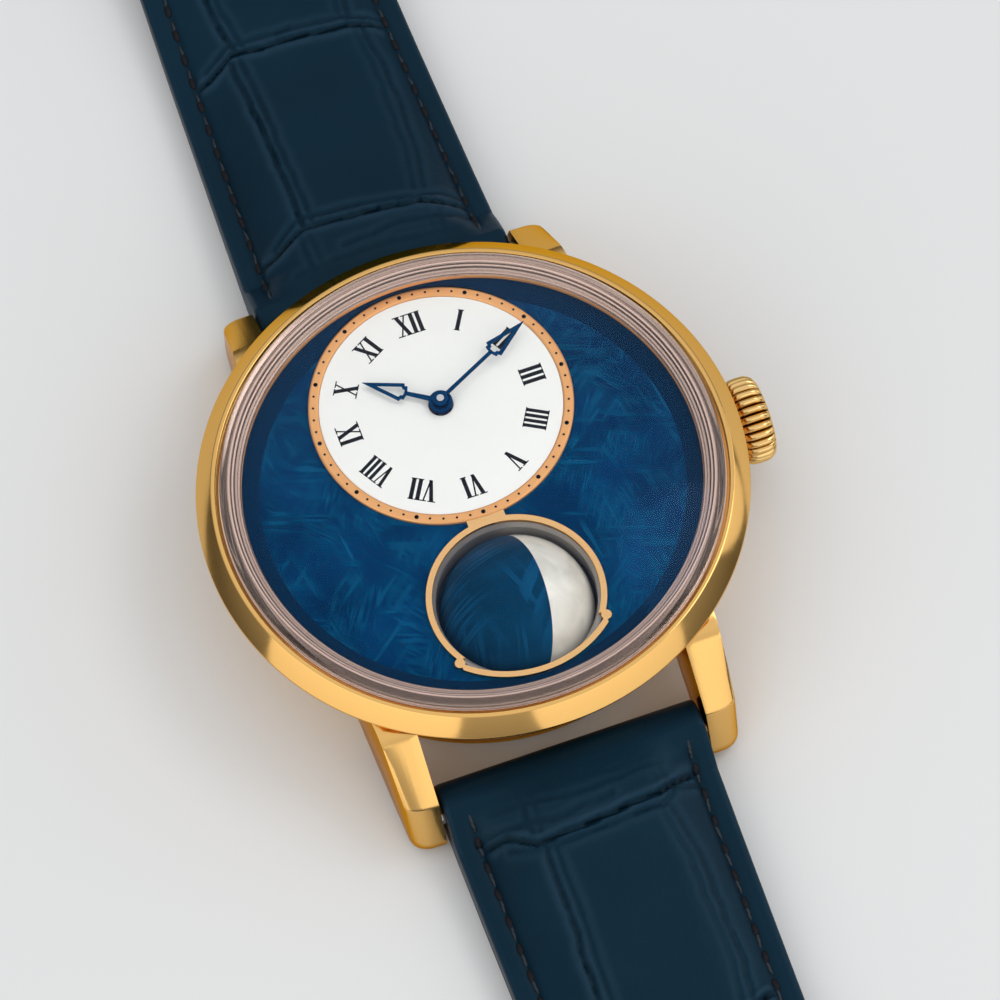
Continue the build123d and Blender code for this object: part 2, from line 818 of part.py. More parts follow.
def barrel_bridge():
    """The bridge over the barrel and the centre wheel, on two feet."""
    low, high = bridge_z - overrun, bridge_inner_z + overrun
    body = disc(bridge_reach, bridge_z, bridge_inner_z)
    body = body & plate(bridge_outline(barrel_bridge_shares), low, high)
    hole_r = crown_wheel_r + winding_module + crown_wheel_hole_gap
    body -= disc(hole_r, low, high, crown_wheel_at)
    body -= disc(barrel_arbor_r + pivot_gap, low, high, barrel_at)
    for angle in barrel_foot_angles:
        foot_at = along((0, 0), bridge_foot_reach, angle)
        body += disc(bridge_foot_r, bridge_inner_z, plate_bottom_z, foot_at)
    return body + disc(click_pivot_r, winding_level, bridge_z, click_at)


def train_bridge():
    """The open bridge over the third, fourth and escape wheels, on two feet."""
    low, high = bridge_z - overrun, bridge_inner_z + overrun
    body = disc(bridge_reach, bridge_z, bridge_inner_z)
    body = body & plate(bridge_outline(train_bridge_shares), low, high)
    body -= plate(bridge_outline(train_window_shares), low, high)
    for angle in train_foot_angles:
        foot_at = along((0, 0), bridge_foot_reach, angle)
        body += disc(bridge_foot_r, bridge_inner_z, plate_bottom_z, foot_at)
    return body


def pallet_bridge():
    """The small bridge over the pallet fork."""
    foot_at = (pallet_foot_x, pallet_foot_y)
    high = pallet_bridge_z + pallet_bridge_thickness
    body = round_arm(foot_at, fork_at, pallet_bridge_width, pallet_bridge_z, high)
    return body + disc(pallet_bridge_width / 2, high, plate_bottom_z, foot_at)


def balance_cock():
    """The cock over the balance."""
    foot_at = (cock_foot_x, cock_foot_y)
    high = cock_z + cock_thickness
    body = round_arm(foot_at, balance_at, cock_width, cock_z, high)
    return body + disc(bridge_foot_r, high, plate_bottom_z, foot_at)


def centre_wheel():
    """The centre wheel, its pinion, and its arbor up to the cannon pinion."""
    body = train_wheel(
        centre_teeth, third_pinion_teeth, centre_distance, third_angle, centre_wheel_level, centre
    )
    body += gear(
        barrel_pinion_teeth, barrel_teeth, barrel_distance, gap_phase(barrel_angle + 180, barrel_pinion_teeth),
        centre_wheel_level, plate_bottom_z - pivot_gap, centre,
    )
    return body + disc(arbor_r, bridge_inner_z + pivot_gap, minute_wheel_z, centre)


def third_wheel():
    """The third wheel on its long pinion."""
    body = train_wheel(
        third_teeth, fourth_pinion_teeth, third_distance, fourth_angle, third_wheel_level, third_at
    )
    body += gear(
        third_pinion_teeth, centre_teeth, centre_distance, gap_phase(third_angle, third_pinion_teeth),
        bridge_inner_z + pivot_gap, third_wheel_level, third_at,
    )
    return body + disc(arbor_r, third_wheel_level, plate_bottom_z - pivot_gap, third_at)


def fourth_wheel():
    """The fourth wheel over its pinion."""
    body = train_wheel(
        fourth_teeth, escape_pinion_teeth, fourth_distance, escape_angle, fourth_wheel_level, fourth_at
    )
    body += gear(
        fourth_pinion_teeth, third_teeth, third_distance, gap_phase(fourth_angle, fourth_pinion_teeth),
        bridge_inner_z + pivot_gap, fourth_wheel_level, fourth_at,
    )
    return body + disc(arbor_r, fourth_wheel_level, plate_bottom_z - pivot_gap, fourth_at)


def escape_wheel():
    """The escape wheel, with its pointed teeth leaning forward, under its pinion."""
    pitch = 360 / escape_teeth
    root_r = escape_r * escape_root_share
    points = []
    for tooth in range(escape_teeth):
        points.append(along((0, 0), root_r, tooth * pitch))
        points.append(along((0, 0), escape_r, (tooth + escape_lean_share) * pitch))
    high = escape_level + wheel_thickness
    body = opened(plate(points, escape_level, high, escape_at), root_r, escape_level, high, escape_at, 0)
    body += gear(
        escape_pinion_teeth, fourth_teeth, fourth_distance, gap_phase(escape_angle, escape_pinion_teeth),
        escape_level, plate_bottom_z - pivot_gap, escape_at,
    )
    return body + disc(arbor_r, bridge_inner_z + pivot_gap, escape_level, escape_at)


def stone_reach(arm):
    """How far a stone reaches without meeting the tips of the escape wheel."""
    clear_r = escape_r + stone_gap + math.radians(fork_swing) * arm
    return fork_distance - math.sqrt(clear_r ** 2 - (arm - stone_width) ** 2)


def pallet_fork():
    """The lever with its two pallet stones, its notch and its arbor."""
    high = escape_level + fork_thickness
    half = fork_width / 2
    arm = fork_distance * fork_arm_share
    neck = fork_distance - fork_horn
    outline = [
        (-half, -arm), (half, -arm), (half, -half), (neck, -half), (fork_distance, -fork_notch),
        (fork_distance, -fork_notch / 2), (neck, 0), (fork_distance, fork_notch / 2),
        (fork_distance, fork_notch), (neck, half), (half, half), (half, arm), (-half, arm),
    ]
    body = plate(outline, escape_level, high)
    for side in (-1, 1):
        low_y = side * arm - stone_width / 2
        body += block((-stone_reach(arm), low_y, escape_level), (half, low_y + stone_width, high))
    arbor_low = pallet_bridge_z + pallet_bridge_thickness + pivot_gap
    body += disc(arbor_r, arbor_low, plate_bottom_z - pivot_gap)
    return Pos(fork_at[0], fork_at[1], 0) * Rot(0, 0, fork_turn) * body


def balance_wheel():
    """The balance, a rim on two arms."""
    low, high = balance_level, balance_level + balance_thickness
    body = disc(balance_r, low, high, balance_at)
    body -= disc(balance_r - balance_rim, low - overrun, high + overrun, balance_at)
    half = balance_arm_width / 2
    reach = balance_r - balance_rim / 2
    arm = block((-reach, -half, low), (reach, half, low + balance_thickness / 2))
    body += Pos(balance_x, balance_y, 0) * Rot(0, 0, fork_turn) * arm
    return body - disc(arbor_r, low - overrun, high + overrun, balance_at)


def balance_staff():
    """The staff of the balance with its roller."""
    body = disc(arbor_r, cock_z + cock_thickness + pivot_gap, plate_bottom_z - pivot_gap, balance_at)
    return body + disc(roller_r, pallet_bridge_z, pallet_bridge_z + roller_thickness, balance_at)


def spring_arcs():
    """Centre, radius and side of each half turn of the balance spring."""
    step = spring_pitch / 2
    arcs = []
    for turn in range(2 * spring_turns):
        side = 1 if turn % 2 == 0 else -1
        arcs.append((0 if side > 0 else step, spring_inner_r + turn * step, side))
    return arcs


def spring_gap():
    """The least clear distance between the turns of the balance spring."""
    points = []
    for middle, radius, side in spring_arcs():
        for check in range(spring_checks):
            turn = math.pi * check / spring_checks
            points.append((middle + side * radius * math.cos(turn), side * radius * math.sin(turn)))
    least = spring_pitch * spring_turns
    for i, first in enumerate(points):
        for second in points[i + spring_checks:]:
            least = min(least, math.dist(first, second))
    return least - spring_strip


def balance_spring():
    """The flat balance spring, one strip laid in half turns."""
    edges = []
    for middle, radius, side in spring_arcs():
        start = (middle + side * radius, 0, 0)
        top = (middle, side * radius, 0)
        end = (middle - side * radius, 0, 0)
        edges.append(ThreePointArc(start, top, end))
    start_plane = Plane(origin=(spring_inner_r, 0, 0), x_dir=(1, 0, 0), z_dir=(0, 1, 0))
    coil = sweep(start_plane * Rectangle(spring_strip, spring_height), Wire(edges))
    print("least gap of the balance spring", round(spring_gap(), 3))
    return Pos(balance_x, balance_y, spring_level) * Rot(0, 0, fork_turn) * coil


def spring_bar(side):
    """The bar that holds one half of the strap between its lugs."""
    reach = lug_inner_x + bar_seat
    return pin_x(bar_r, -reach, reach, side * bar_y, bar_z)


def strap_plan(length, pointed):
    """The outline of a strap half from above, as a prism through it."""
    root = strap_width / 2 - strap_side_gap
    end = strap_end_width / 2
    taper_y = length - tip_length if pointed else length
    right = [(root, -strap_end_r), (root, strap_end_r), (end, taper_y)]
    if pointed:
        right.append((end * (1 - strap_tip_share), length - tip_length * strap_tip_share))
        right.append((end * tip_width_share, length))
    else:
        right.append((end, length + buckle_end_r))
    left = [(-x, y) for x, y in reversed(right)]
    return plate(right + left, -overrun, case_top_z)


def strap_side(length, lifted):
    """The section of a strap half along its length, as a prism across it."""
    bar_top_z = bar_z + strap_end_r
    fall = bar_top_z - strap_thin
    top = [(strap_settle * x, bar_top_z + fall * z) for x, z in strap_top_shares]
    bottom = [(strap_floor_reach, 0), (0, bar_z - strap_end_r)]
    if lifted:
        top = top[:-1]
        top.append((strap_rise_end, strap_rise + strap_thin))
        top.append((length, strap_rise + strap_thin))
        bottom = [(length, strap_rise), (strap_rise_end, strap_rise), (strap_rise_start, 0)] + bottom
    else:
        top.append((length, strap_thin))
        bottom = [(length, 0)] + bottom
    reach = strap_width / 2
    body = side_plate(top + bottom, -reach, reach)
    return body + pin_x(strap_end_r, -reach, reach, 0, bar_z)


def strap_half(length, pointed):
    """One half of the strap, from its bar outwards along +Y."""
    body = strap_side(length, not pointed)
    if not pointed:
        reach = strap_width / 2
        body += pin_x(buckle_end_r, -reach, reach, length, strap_middle_z)
    body = body & strap_plan(length, pointed)
    return body - pin_x(bar_r + bar_gap, -strap_width, strap_width, 0, bar_z)


def strap_short():
    """The buckle half at 12 o'clock, open at its end for the tongue."""
    body = strap_half(short_length, False)
    reach = buckle_end_r + tongue_slot_gap
    half = tongue_width / 2 + tongue_slot_gap
    body -= block((-half, short_length - reach, 0), (half, short_length + reach, case_top_z))
    body -= pin_x(buckle_bar_r + bar_gap, -strap_width, strap_width, short_length, strap_middle_z)
    return Pos(0, bar_y, 0) * body


def strap_long():
    """The pierced half at 6 o'clock."""
    body = strap_half(long_length, True)
    for slot in range(slot_count):
        middle_y = long_length - slot_start - slot * slot_pitch
        body -= block(
            (-slot_width / 2, middle_y - slot_length / 2, -overrun),
            (slot_width / 2, middle_y + slot_length / 2, case_top_z),
        )
    return Pos(0, -bar_y, 0) * Rot(0, 0, 180) * body


def keeper(distance, travel):
    """A leather loop round the short half, with room for the long one."""
    middle_y = short_length - distance
    widest_share = (middle_y - travel) / short_length
    half = (strap_width + (strap_end_width - strap_width) * widest_share) / 2 + keeper_gap
    low = strap_rise - keeper_gap
    high = strap_rise + strap_thin + keeper_room
    reach = keeper_width / 2
    body = block(
        (-half - keeper_wall, middle_y - reach, low - keeper_wall),
        (half + keeper_wall, middle_y + reach, high + keeper_wall),
    )
    body -= block((-half, middle_y - reach - overrun, low), (half, middle_y + reach + overrun, high))
    return Pos(0, bar_y, 0) * body


def fixed_keeper():
    """The keeper sewn down beside the buckle."""
    return keeper(fixed_keeper_y, 0)


def sliding_keeper():
    """The keeper that slides along the strap."""
    return keeper(sliding_keeper_y, keeper_travel)


def buckle_frame():
    """The frame of the pin buckle, bored for its bar."""
    end_y = buckle_y + buckle_reach
    right = [
        (buckle_inner_x, end_y - buckle_arm), (buckle_inner_x, buckle_y - buckle_arm),
        (buckle_outer_x, buckle_y - buckle_arm), (buckle_outer_x, end_y),
        (buckle_outer_x / 2, end_y + buckle_bow),
    ]
    left = [(-x, y) for x, y in reversed(right)]
    low = strap_middle_z - buckle_thickness / 2
    body = plate(right + left, low, low + buckle_thickness)
    reach = buckle_outer_x + overrun
    return body - pin_x(buckle_bar_r, -reach, reach, buckle_y, strap_middle_z)


def buckle_bar():
    """The bar through the strap, the frame and the tongue."""
    return pin_x(buckle_bar_r, -buckle_outer_x, buckle_outer_x, buckle_y, strap_middle_z)


def buckle_tongue():
    """The tongue, a ring on the bar and a blade over the frame."""
    half = tongue_width / 2
    rest_z = strap_middle_z + buckle_thickness / 2 + tongue_rest_gap
    rest_y = buckle_y + buckle_reach - buckle_arm - buckle_gap
    tip_y = buckle_y + buckle_reach + buckle_bow
    blade = [
        (buckle_y, strap_middle_z), (buckle_y + tongue_ring_r, strap_middle_z - tongue_thickness / 2),
        (rest_y, rest_z - tongue_thickness / 2), (rest_y, rest_z), (tip_y + tongue_overhang, rest_z),
        (tip_y, rest_z + tongue_thickness), (rest_y, rest_z + tongue_thickness),
        (buckle_y, strap_middle_z + tongue_ring_r),
    ]
    body = pin_x(tongue_ring_r, -half, half, buckle_y, strap_middle_z)
    body += side_plate(blade, -half, half)
    return body - pin_x(buckle_bar_r + bar_gap, -strap_width, strap_width, buckle_y, strap_middle_z)


parts = {
    "case_middle": case_middle,
    "bezel": bezel,
    "front_crystal": front_crystal,
    "back_ring": back_ring,
    "back_crystal": back_crystal,
    "crown": crown,
    "crown_tube": crown_tube,
    "winding_stem": winding_stem,
    "winding_pinion": winding_pinion,
    "dial_plate": dial_plate,
    "dial_flange": dial_flange,
    "subdial_disc": subdial_disc,
    "subdial_ring": subdial_ring,
    "moon_frame": moon_frame,
    "moon_well": moon_well,
    "moon_dark_half": lambda: moon_half(-1),
    "moon_light_half": lambda: moon_half(1),
    "moon_arbor": moon_arbor,
    "minute_hand": minute_hand,
    "hour_hand": hour_hand,
    "cannon_pinion": cannon_pinion,
    "hour_wheel": hour_wheel,
    "minute_wheel": minute_wheel,
    "main_plate": main_plate,
    "barrel_drum": barrel_drum,
    "barrel_arbor": barrel_arbor,
    "ratchet_wheel": ratchet_wheel,
    "crown_wheel": crown_wheel,
    "crown_wheel_post": crown_wheel_post,
    "click": click,
    "barrel_bridge": barrel_bridge,
    "train_bridge": train_bridge,
    "pallet_bridge": pallet_bridge,
    "balance_cock": balance_cock,
    "centre_wheel": centre_wheel,
    "third_wheel": third_wheel,
    "fourth_wheel": fourth_wheel,
    "escape_wheel": escape_wheel,
    "pallet_fork": pallet_fork,
    "balance_wheel": balance_wheel,
    "balance_staff": balance_staff,
    "balance_spring": balance_spring,
    "spring_bar_12": lambda: spring_bar(1),
    "spring_bar_6": lambda: spring_bar(-1),
    "strap_short": strap_short,
    "strap_long": strap_long,
    "fixed_keeper": fixed_keeper,
    "sliding_keeper": sliding_keeper,
    "buckle_frame": buckle_frame,
    "buckle_bar": buckle_bar,
    "buckle_tongue": buckle_tongue,
}

os.makedirs("parts", exist_ok=True)
for name, make in parts.items():
    export_step(make(), f"parts/{name}.step")
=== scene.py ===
import json
import math

import bmesh
import bpy
import numpy as np
from mathutils import Matrix, Vector


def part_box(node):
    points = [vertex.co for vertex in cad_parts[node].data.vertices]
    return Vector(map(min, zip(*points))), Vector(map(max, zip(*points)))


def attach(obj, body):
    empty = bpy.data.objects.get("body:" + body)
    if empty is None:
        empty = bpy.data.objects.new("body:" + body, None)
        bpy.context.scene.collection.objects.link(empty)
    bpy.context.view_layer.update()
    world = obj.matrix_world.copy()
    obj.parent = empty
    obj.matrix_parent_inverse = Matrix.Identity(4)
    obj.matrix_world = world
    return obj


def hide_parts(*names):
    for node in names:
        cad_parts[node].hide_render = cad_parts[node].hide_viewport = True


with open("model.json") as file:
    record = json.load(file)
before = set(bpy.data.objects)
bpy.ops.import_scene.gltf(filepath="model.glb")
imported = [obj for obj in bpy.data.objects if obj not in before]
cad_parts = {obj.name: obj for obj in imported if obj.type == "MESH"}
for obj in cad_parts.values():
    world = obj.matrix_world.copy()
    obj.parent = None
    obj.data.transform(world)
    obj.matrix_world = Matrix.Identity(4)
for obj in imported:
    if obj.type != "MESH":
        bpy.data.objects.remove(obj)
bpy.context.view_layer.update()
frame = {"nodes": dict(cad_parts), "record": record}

bl_info = {
    "name": "Moon Phase Watch",
    "version": (1, 0, 0),
    "blender": (4, 5, 0),
    "location": "View3D > Sidebar > Watch",
    "description": "Builds the looks of a moon phase watch over its CAD frame",
    "category": "Object",
}

MM = 0.001
FINE = 256
BODY_OF = {node: body for body, nodes in frame["record"]["behaviour"]["bodies"].items() for node in nodes}


# Sizes and colours a user may change


def length(name, note, value):
    """A size in metres, from its value in millimetres."""
    return bpy.props.FloatProperty(
        name=name, description=note, default=value * MM, min=0.0, precision=5, unit="LENGTH"
    )


def colour(name, note, value):
    """A colour, linear."""
    return bpy.props.FloatVectorProperty(
        name=name, description=note, default=value, min=0.0, max=1.0, size=3, subtype="COLOR"
    )


class WatchCaseSizes(bpy.types.PropertyGroup):
    """Finishing sizes of the case, its crown and its movement."""

    lug_round: length("Lug edge", "Rounding of the edges of the lugs", 0.3)
    bezel_round: length("Bezel edge", "Rounding of the edges of the bezel", 0.14)
    part_round: length("Part edge", "Rounding of the edges of small parts", 0.05)
    ridge_count: bpy.props.IntProperty(
        name="Crown ridges", description="Number of ridges round the crown", default=28, min=3
    )
    screw_width: length("Screw head", "Width of a screw head", 1.5)
    jewel_width: length("Jewel", "Width of a bearing jewel", 1.3)


class WatchDialSizes(bpy.types.PropertyGroup):
    """Printing and edges of the dial side."""

    numeral_inner: length("Numeral foot", "Radius of the feet of the numerals", 6.72)
    numeral_outer: length("Numeral head", "Radius of the heads of the numerals", 8.62)
    ink_height: length("Ink", "Height of the printed ink", 0.012)
    thick_stroke: length("Thick stroke", "Width of a thick stroke", 0.33)
    thin_stroke: length("Thin stroke", "Width of a thin stroke", 0.125)
    dot_radius: length("Dot circle", "Radius of the circle of minute dots", 10.14)
    small_dot: length("Small dot", "Width of a minute dot", 0.2)
    large_dot: length("Large dot", "Width of a five minute dot", 0.36)
    edge_round: length("Edge", "Rounding of the edges of the dial pieces", 0.05)


class WatchStrapSizes(bpy.types.PropertyGroup):
    """Sizes of the leather strap."""

    margin: length("Margin", "Distance of the stitches from the edge", 1.8)
    edge_thickness: length("Edge", "Thickness of the sewn edge", 2.2)
    pad_width: length("Pad", "Width over which the padding rises", 4.5)
    groove_depth: length("Groove depth", "Depth of the grooves between scales", 0.3)
    groove_width: length("Groove width", "Width of the grooves between scales", 0.24)
    stitch_pitch: length("Stitch pitch", "Distance from stitch to stitch", 2.35)
    stitch_length: length("Stitch length", "Length of a stitch", 1.7)
    thread_width: length("Thread", "Thickness of the thread", 0.34)
    # painted shade: black ovals stand for the shadowed stitch holes
    hole_shadow_length: length("Stitch hole", "Length of the hole between two stitches", 1.3)
    lining: length("Lining", "Thickness of the lining", 0.5)
    seed: bpy.props.IntProperty(name="Seed", description="Seed of the uneven stitches", default=7)


class WatchColours(bpy.types.PropertyGroup):
    """Colours of the finishes."""

    gold: colour("Gold", "Case, crown and buckle", (0.8, 0.47, 0.15))
    ring: colour("Ring gold", "Ring of the dial and frame of the moon", (0.84, 0.42, 0.17))
    rose: colour("Rose grey", "Stepped ring inside the crystal", (0.5, 0.36, 0.3))
    stone: colour("Stone", "Deep blue of the dial", (0.0003, 0.026, 0.088))
    streak: colour("Streak", "Light streaks in the stone", (0.003, 0.13, 0.26))
    flange: colour("Flange", "Blue of the sloped rim", (0.001, 0.02, 0.058))
    enamel: colour("Enamel", "White of the hour disc", (0.95, 0.95, 0.91))
    ink: colour("Ink", "Numerals and dots", (0.012, 0.012, 0.014))
    hand: colour("Hand", "Heat blued steel", (0.001, 0.04, 0.12))
    moon_dark: colour("Dark moon", "Night side of the moon", (0.002, 0.032, 0.075))
    moon_light: colour("Light moon", "Lit side of the moon", (0.86, 0.83, 0.74))
    leather: colour("Leather", "Dark blue leather", (0.0014, 0.0125, 0.0255))
    lining: colour("Lining leather", "Leather under the strap", (0.05, 0.035, 0.028))
    thread: colour("Thread", "Thread of the strap", (0.0016, 0.006, 0.011))
    steel: colour("Steel", "Stem, pins and screws", (0.62, 0.62, 0.63))
    plate: colour("Plate", "Plates and bridges", (0.7, 0.7, 0.68))
    brass: colour("Brass", "Wheels", (0.83, 0.6, 0.26))
    ruby: colour("Ruby", "Bearing jewels", (0.55, 0.01, 0.05))
    floor: colour("Floor", "Floor under the watch", (0.8, 0.8, 0.79))


# Outlines and solids


def softened(corners, steps=5):
    """Round the corners of a closed outline of x, y and radius, in millimetres."""
    points = []
    for i, (x, y, radius) in enumerate(corners):
        here = Vector((x, y))
        if radius <= 0:
            points.append(here)
            continue
        back = Vector(corners[i - 1][:2]) - here
        ahead = Vector(corners[(i + 1) % len(corners)][:2]) - here
        reach = radius / math.tan(back.angle(ahead) / 2)
        reach = min(reach, 0.49 * back.length, 0.49 * ahead.length)
        start = here + back.normalized() * reach
        end = here + ahead.normalized() * reach
        for step in range(steps + 1):
            t = step / steps
            points.append(start * (1 - t) ** 2 + here * (2 * t * (1 - t)) + end * t ** 2)
    return [(p.x, p.y) for p in points]


def lathe(section, steps=192, at=(0.0, 0.0), start=0.0, arc=math.tau, dents=None, ridges=0):
    """Turn a closed outline of radius and height about Z, in millimetres, with dents between ridges."""
    bm = bmesh.new()
    sunk = bm.verts.layers.float.new("groove") if dents else None
    whole = arc > math.tau - 1e-6
    rings = []
    for step in range(steps if whole else steps + 1):
        turn = start + arc * step / steps
        x, y = math.cos(turn), math.sin(turn)
        dent = 1.0 - abs(math.cos(turn * ridges / 2)) ** 0.7
        radii = [r - (dents[j] * dent if dents else 0.0) for j, (r, z) in enumerate(section)]
        rings.append([
            bm.verts.new(((at[0] + r * x) * MM, (at[1] + r * y) * MM, z * MM)) for r, (_, z) in zip(radii, section)
        ])
        # the groove layer marks the dents, where the crown's finish paints shade
        if dents:
            for vert, depth in zip(rings[-1], dents):
                vert[sunk] = dent if depth > 0.1 else 0.0
    count = len(section)
    for i in range(steps):
        now, then = rings[i], rings[(i + 1) % len(rings)]
        for j in range(count):
            k = (j + 1) % count
            if section[j][0] < 1e-9 and section[k][0] < 1e-9:
                continue
            bm.faces.new((now[j], then[j], then[k], now[k]))
    if not whole:
        bm.faces.new(rings[0])
        bm.faces.new(rings[-1])
    closed(bm)
    return bm


def closed(bm):
    """Merge doubled points and turn the faces outwards."""
    bmesh.ops.remove_doubles(bm, verts=bm.verts, dist=1e-7)
    bmesh.ops.dissolve_degenerate(bm, edges=bm.edges, dist=1e-8)
    bmesh.ops.recalc_face_normals(bm, faces=bm.faces)


def prism(bm, outline, low, high):
    """Add a flat piece with an outline in millimetres, from one height to another."""
    base = [bm.verts.new((x * MM, y * MM, low * MM)) for x, y in outline]
    top = [bm.verts.new((x * MM, y * MM, high * MM)) for x, y in outline]
    bm.faces.new(base[::-1])
    bm.faces.new(top)
    for i in range(len(outline)):
        k = (i + 1) % len(outline)
        bm.faces.new((base[i], base[k], top[k], top[i]))


def skin(rings, loop=False):
    """Close a row of rings of points, in metres, with caps at its ends or into a loop."""
    bm = bmesh.new()
    made = [[bm.verts.new(point) for point in ring] for ring in rings]
    count = len(made[0])
    for now, then in zip(made, made[1:] + (made[:1] if loop else [])):
        for j in range(count):
            k = (j + 1) % count
            bm.faces.new((now[j], now[k], then[k], then[j]))
    if not loop:
        bm.faces.new(made[0][::-1])
        bm.faces.new(made[-1])
    closed(bm)
    return bm


def mesh_from(bm, name):
    """A mesh from a bmesh, which is freed."""
    mesh = bpy.data.meshes.new(name)
    bm.to_mesh(mesh)
    bm.free()
    return mesh


def linked(name, data):
    """An object in the scene, with its data."""
    thing = bpy.data.objects.new(name, data)
    bpy.context.scene.collection.objects.link(thing)
    return thing


def smooth(mesh, sharp):
    """Shade a mesh smooth, apart from edges sharper than an angle in degrees."""
    mesh.shade_smooth()
    mesh.set_sharp_from_angle(angle=math.radians(sharp))


def piece_of(name, made, finish_name, body, slot, replaced=(), sharp=32.0):
    """Make a piece from a mesh, give it its finish, and set it on its body."""
    mesh = mesh_from(made, name) if isinstance(made, bmesh.types.BMesh) else made
    mesh.name = name
    smooth(mesh, sharp)
    mesh.materials.clear()
    mesh.materials.append(finish(finish_name))
    piece = linked(name, mesh)
    settle(piece, body, slot, replaced)
    return piece


def stand_in(node, made, finish_name, slot, sharp=32.0, name=None):
    """A piece that takes the place of a CAD node, on that node's body."""
    return piece_of(name or node + "_finished", made, finish_name, BODY_OF[node], slot, [node], sharp)


def settle(piece, body, slot, replaced=()):
    """Set a piece on its body and hide the nodes it stands for; its slot is not used."""
    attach(piece, body)
    if replaced:
        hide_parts(*replaced)


def flatten(piece):
    """Turn a piece with live modifiers into a plain mesh."""
    graph = bpy.context.evaluated_depsgraph_get()
    graph.update()
    mesh = bpy.data.meshes.new_from_object(piece.evaluated_get(graph))
    mesh.name = piece.name
    piece.modifiers.clear()
    piece.data = mesh
    return piece


def round_edges(piece, width, segments=3, angle=32.0):
    """Round the sharp edges of a piece."""
    bevel = piece.modifiers.new("Edges", "BEVEL")
    bevel.width = width
    bevel.segments = segments
    bevel.limit_method = "ANGLE"
    bevel.angle_limit = math.radians(angle)
    bevel.harden_normals = True
    bevel.miter_outer = "MITER_ARC"
    return flatten(piece)


def merged_copy(node):
    """A copy of a CAD node's mesh with its loose triangles merged."""
    bm = bmesh.new()
    bm.from_mesh(frame["nodes"][node].data)
    bmesh.ops.remove_doubles(bm, verts=bm.verts, dist=2e-6)
    bmesh.ops.dissolve_limit(bm, angle_limit=math.radians(0.4), verts=bm.verts, edges=bm.edges)
    return bm


def dressed(node, finish_name, slot, edge, segments=2):
    """A merged copy of a CAD node with rounded edges and its finish."""
    return round_edges(stand_in(node, merged_copy(node), finish_name, slot), edge, segments)


def middle(node):
    """The middle of a CAD node, in millimetres."""
    low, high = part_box(node)
    return (low + high) / 2 / MM


# Geometry node trees


def grown(piece, tree, values):
    """Run a geometry tree on a piece with named inputs and keep its plain result."""
    modifier = piece.modifiers.new(tree.name, "NODES")
    modifier.node_group = tree
    for item in tree.interface.items_tree:
        if item.item_type == "SOCKET" and item.in_out == "INPUT" and item.name in values:
            modifier[item.identifier] = values[item.name]
    return flatten(piece)


def sockets(tree, inputs, outputs):
    """Give a group its named inputs and outputs, and return its two ends."""
    kinds = {int: "NodeSocketInt", float: "NodeSocketFloat", tuple: "NodeSocketVector"}
    for label, value in inputs.items():
        socket = tree.interface.new_socket(label, in_out="INPUT", socket_type=kinds[type(value)])
        socket.default_value = value
    for label, kind in outputs:
        tree.interface.new_socket(label, in_out="OUTPUT", socket_type=kind)
    return tree, tree.nodes.new("NodeGroupInput").outputs, tree.nodes.new("NodeGroupOutput")


def new_tree(name, **inputs):
    """A geometry tree with named inputs, what goes in and its end."""
    tree = bpy.data.node_groups.new(name, "GeometryNodeTree")
    tree.interface.new_socket("Geometry", in_out="INPUT", socket_type="NodeSocketGeometry")
    return sockets(tree, inputs, [("Geometry", "NodeSocketGeometry")])


def first(value):
    """The first output of a node, and any other value as it is."""
    return value.outputs[0] if isinstance(value, bpy.types.Node) else value


def wire(tree, kind, inputs=None, **fields):
    """Add a node, set its fields, and feed or set its inputs."""
    node = tree.nodes.new(kind)
    for key, value in fields.items():
        setattr(node, key, value)
    for key, value in (inputs or {}).items():
        value = first(value)
        if isinstance(value, bpy.types.NodeSocket):
            tree.links.new(value, node.inputs[key])
        else:
            node.inputs[key].default_value = value
    return node


def maths(tree, operation, *values, **fields):
    """Add a sum of up to three values."""
    return wire(tree, "ShaderNodeMath", dict(enumerate(values)), operation=operation, **fields)


def spread(tree, value, low, high, to_low=0.0, to_high=1.0):
    """Add a range that spreads a value from one span over another."""
    return wire(tree, "ShaderNodeMapRange", {
        "Value": value, "From Min": low, "From Max": high, "To Min": to_low, "To Max": to_high,
    })


def end_tree(tree, shape, material, end):
    """Realize what a tree has placed and set its material."""
    solid = wire(tree, "GeometryNodeRealizeInstances", {"Geometry": shape})
    inked = wire(tree, "GeometryNodeSetMaterial", {"Geometry": solid, "Material": material})
    tree.links.new(inked.outputs[0], end.inputs[0])


def ring_tree(name, material, shape_of):
    """Copies of a shape round an axis along Z, each turned to face outwards."""
    tree, start, end = new_tree(name, Count=12, Radius=0.01, Width=0.001, Height=0.001, Centre=(0.0, 0.0, 0.0))
    circle = wire(tree, "GeometryNodeMeshCircle", {"Vertices": start["Count"], "Radius": start["Radius"]})
    place = wire(tree, "GeometryNodeInputPosition")
    facing = wire(tree, "FunctionNodeAlignEulerToVector", {"Vector": place}, axis="X")
    shape = shape_of(tree, start)
    copies = wire(tree, "GeometryNodeInstanceOnPoints", {
        "Points": circle, "Instance": shape, "Rotation": facing,
    })
    moved = wire(tree, "GeometryNodeTransform", {"Geometry": copies, "Translation": start["Centre"]})
    end_tree(tree, moved, material, end)
    return tree


def dot_shape(tree, start):
    """A flat printed dot."""
    dot = wire(tree, "GeometryNodeMeshCylinder", {
        "Vertices": 14, "Radius": start["Width"], "Depth": start["Height"],
    })
    return dot.outputs["Mesh"]


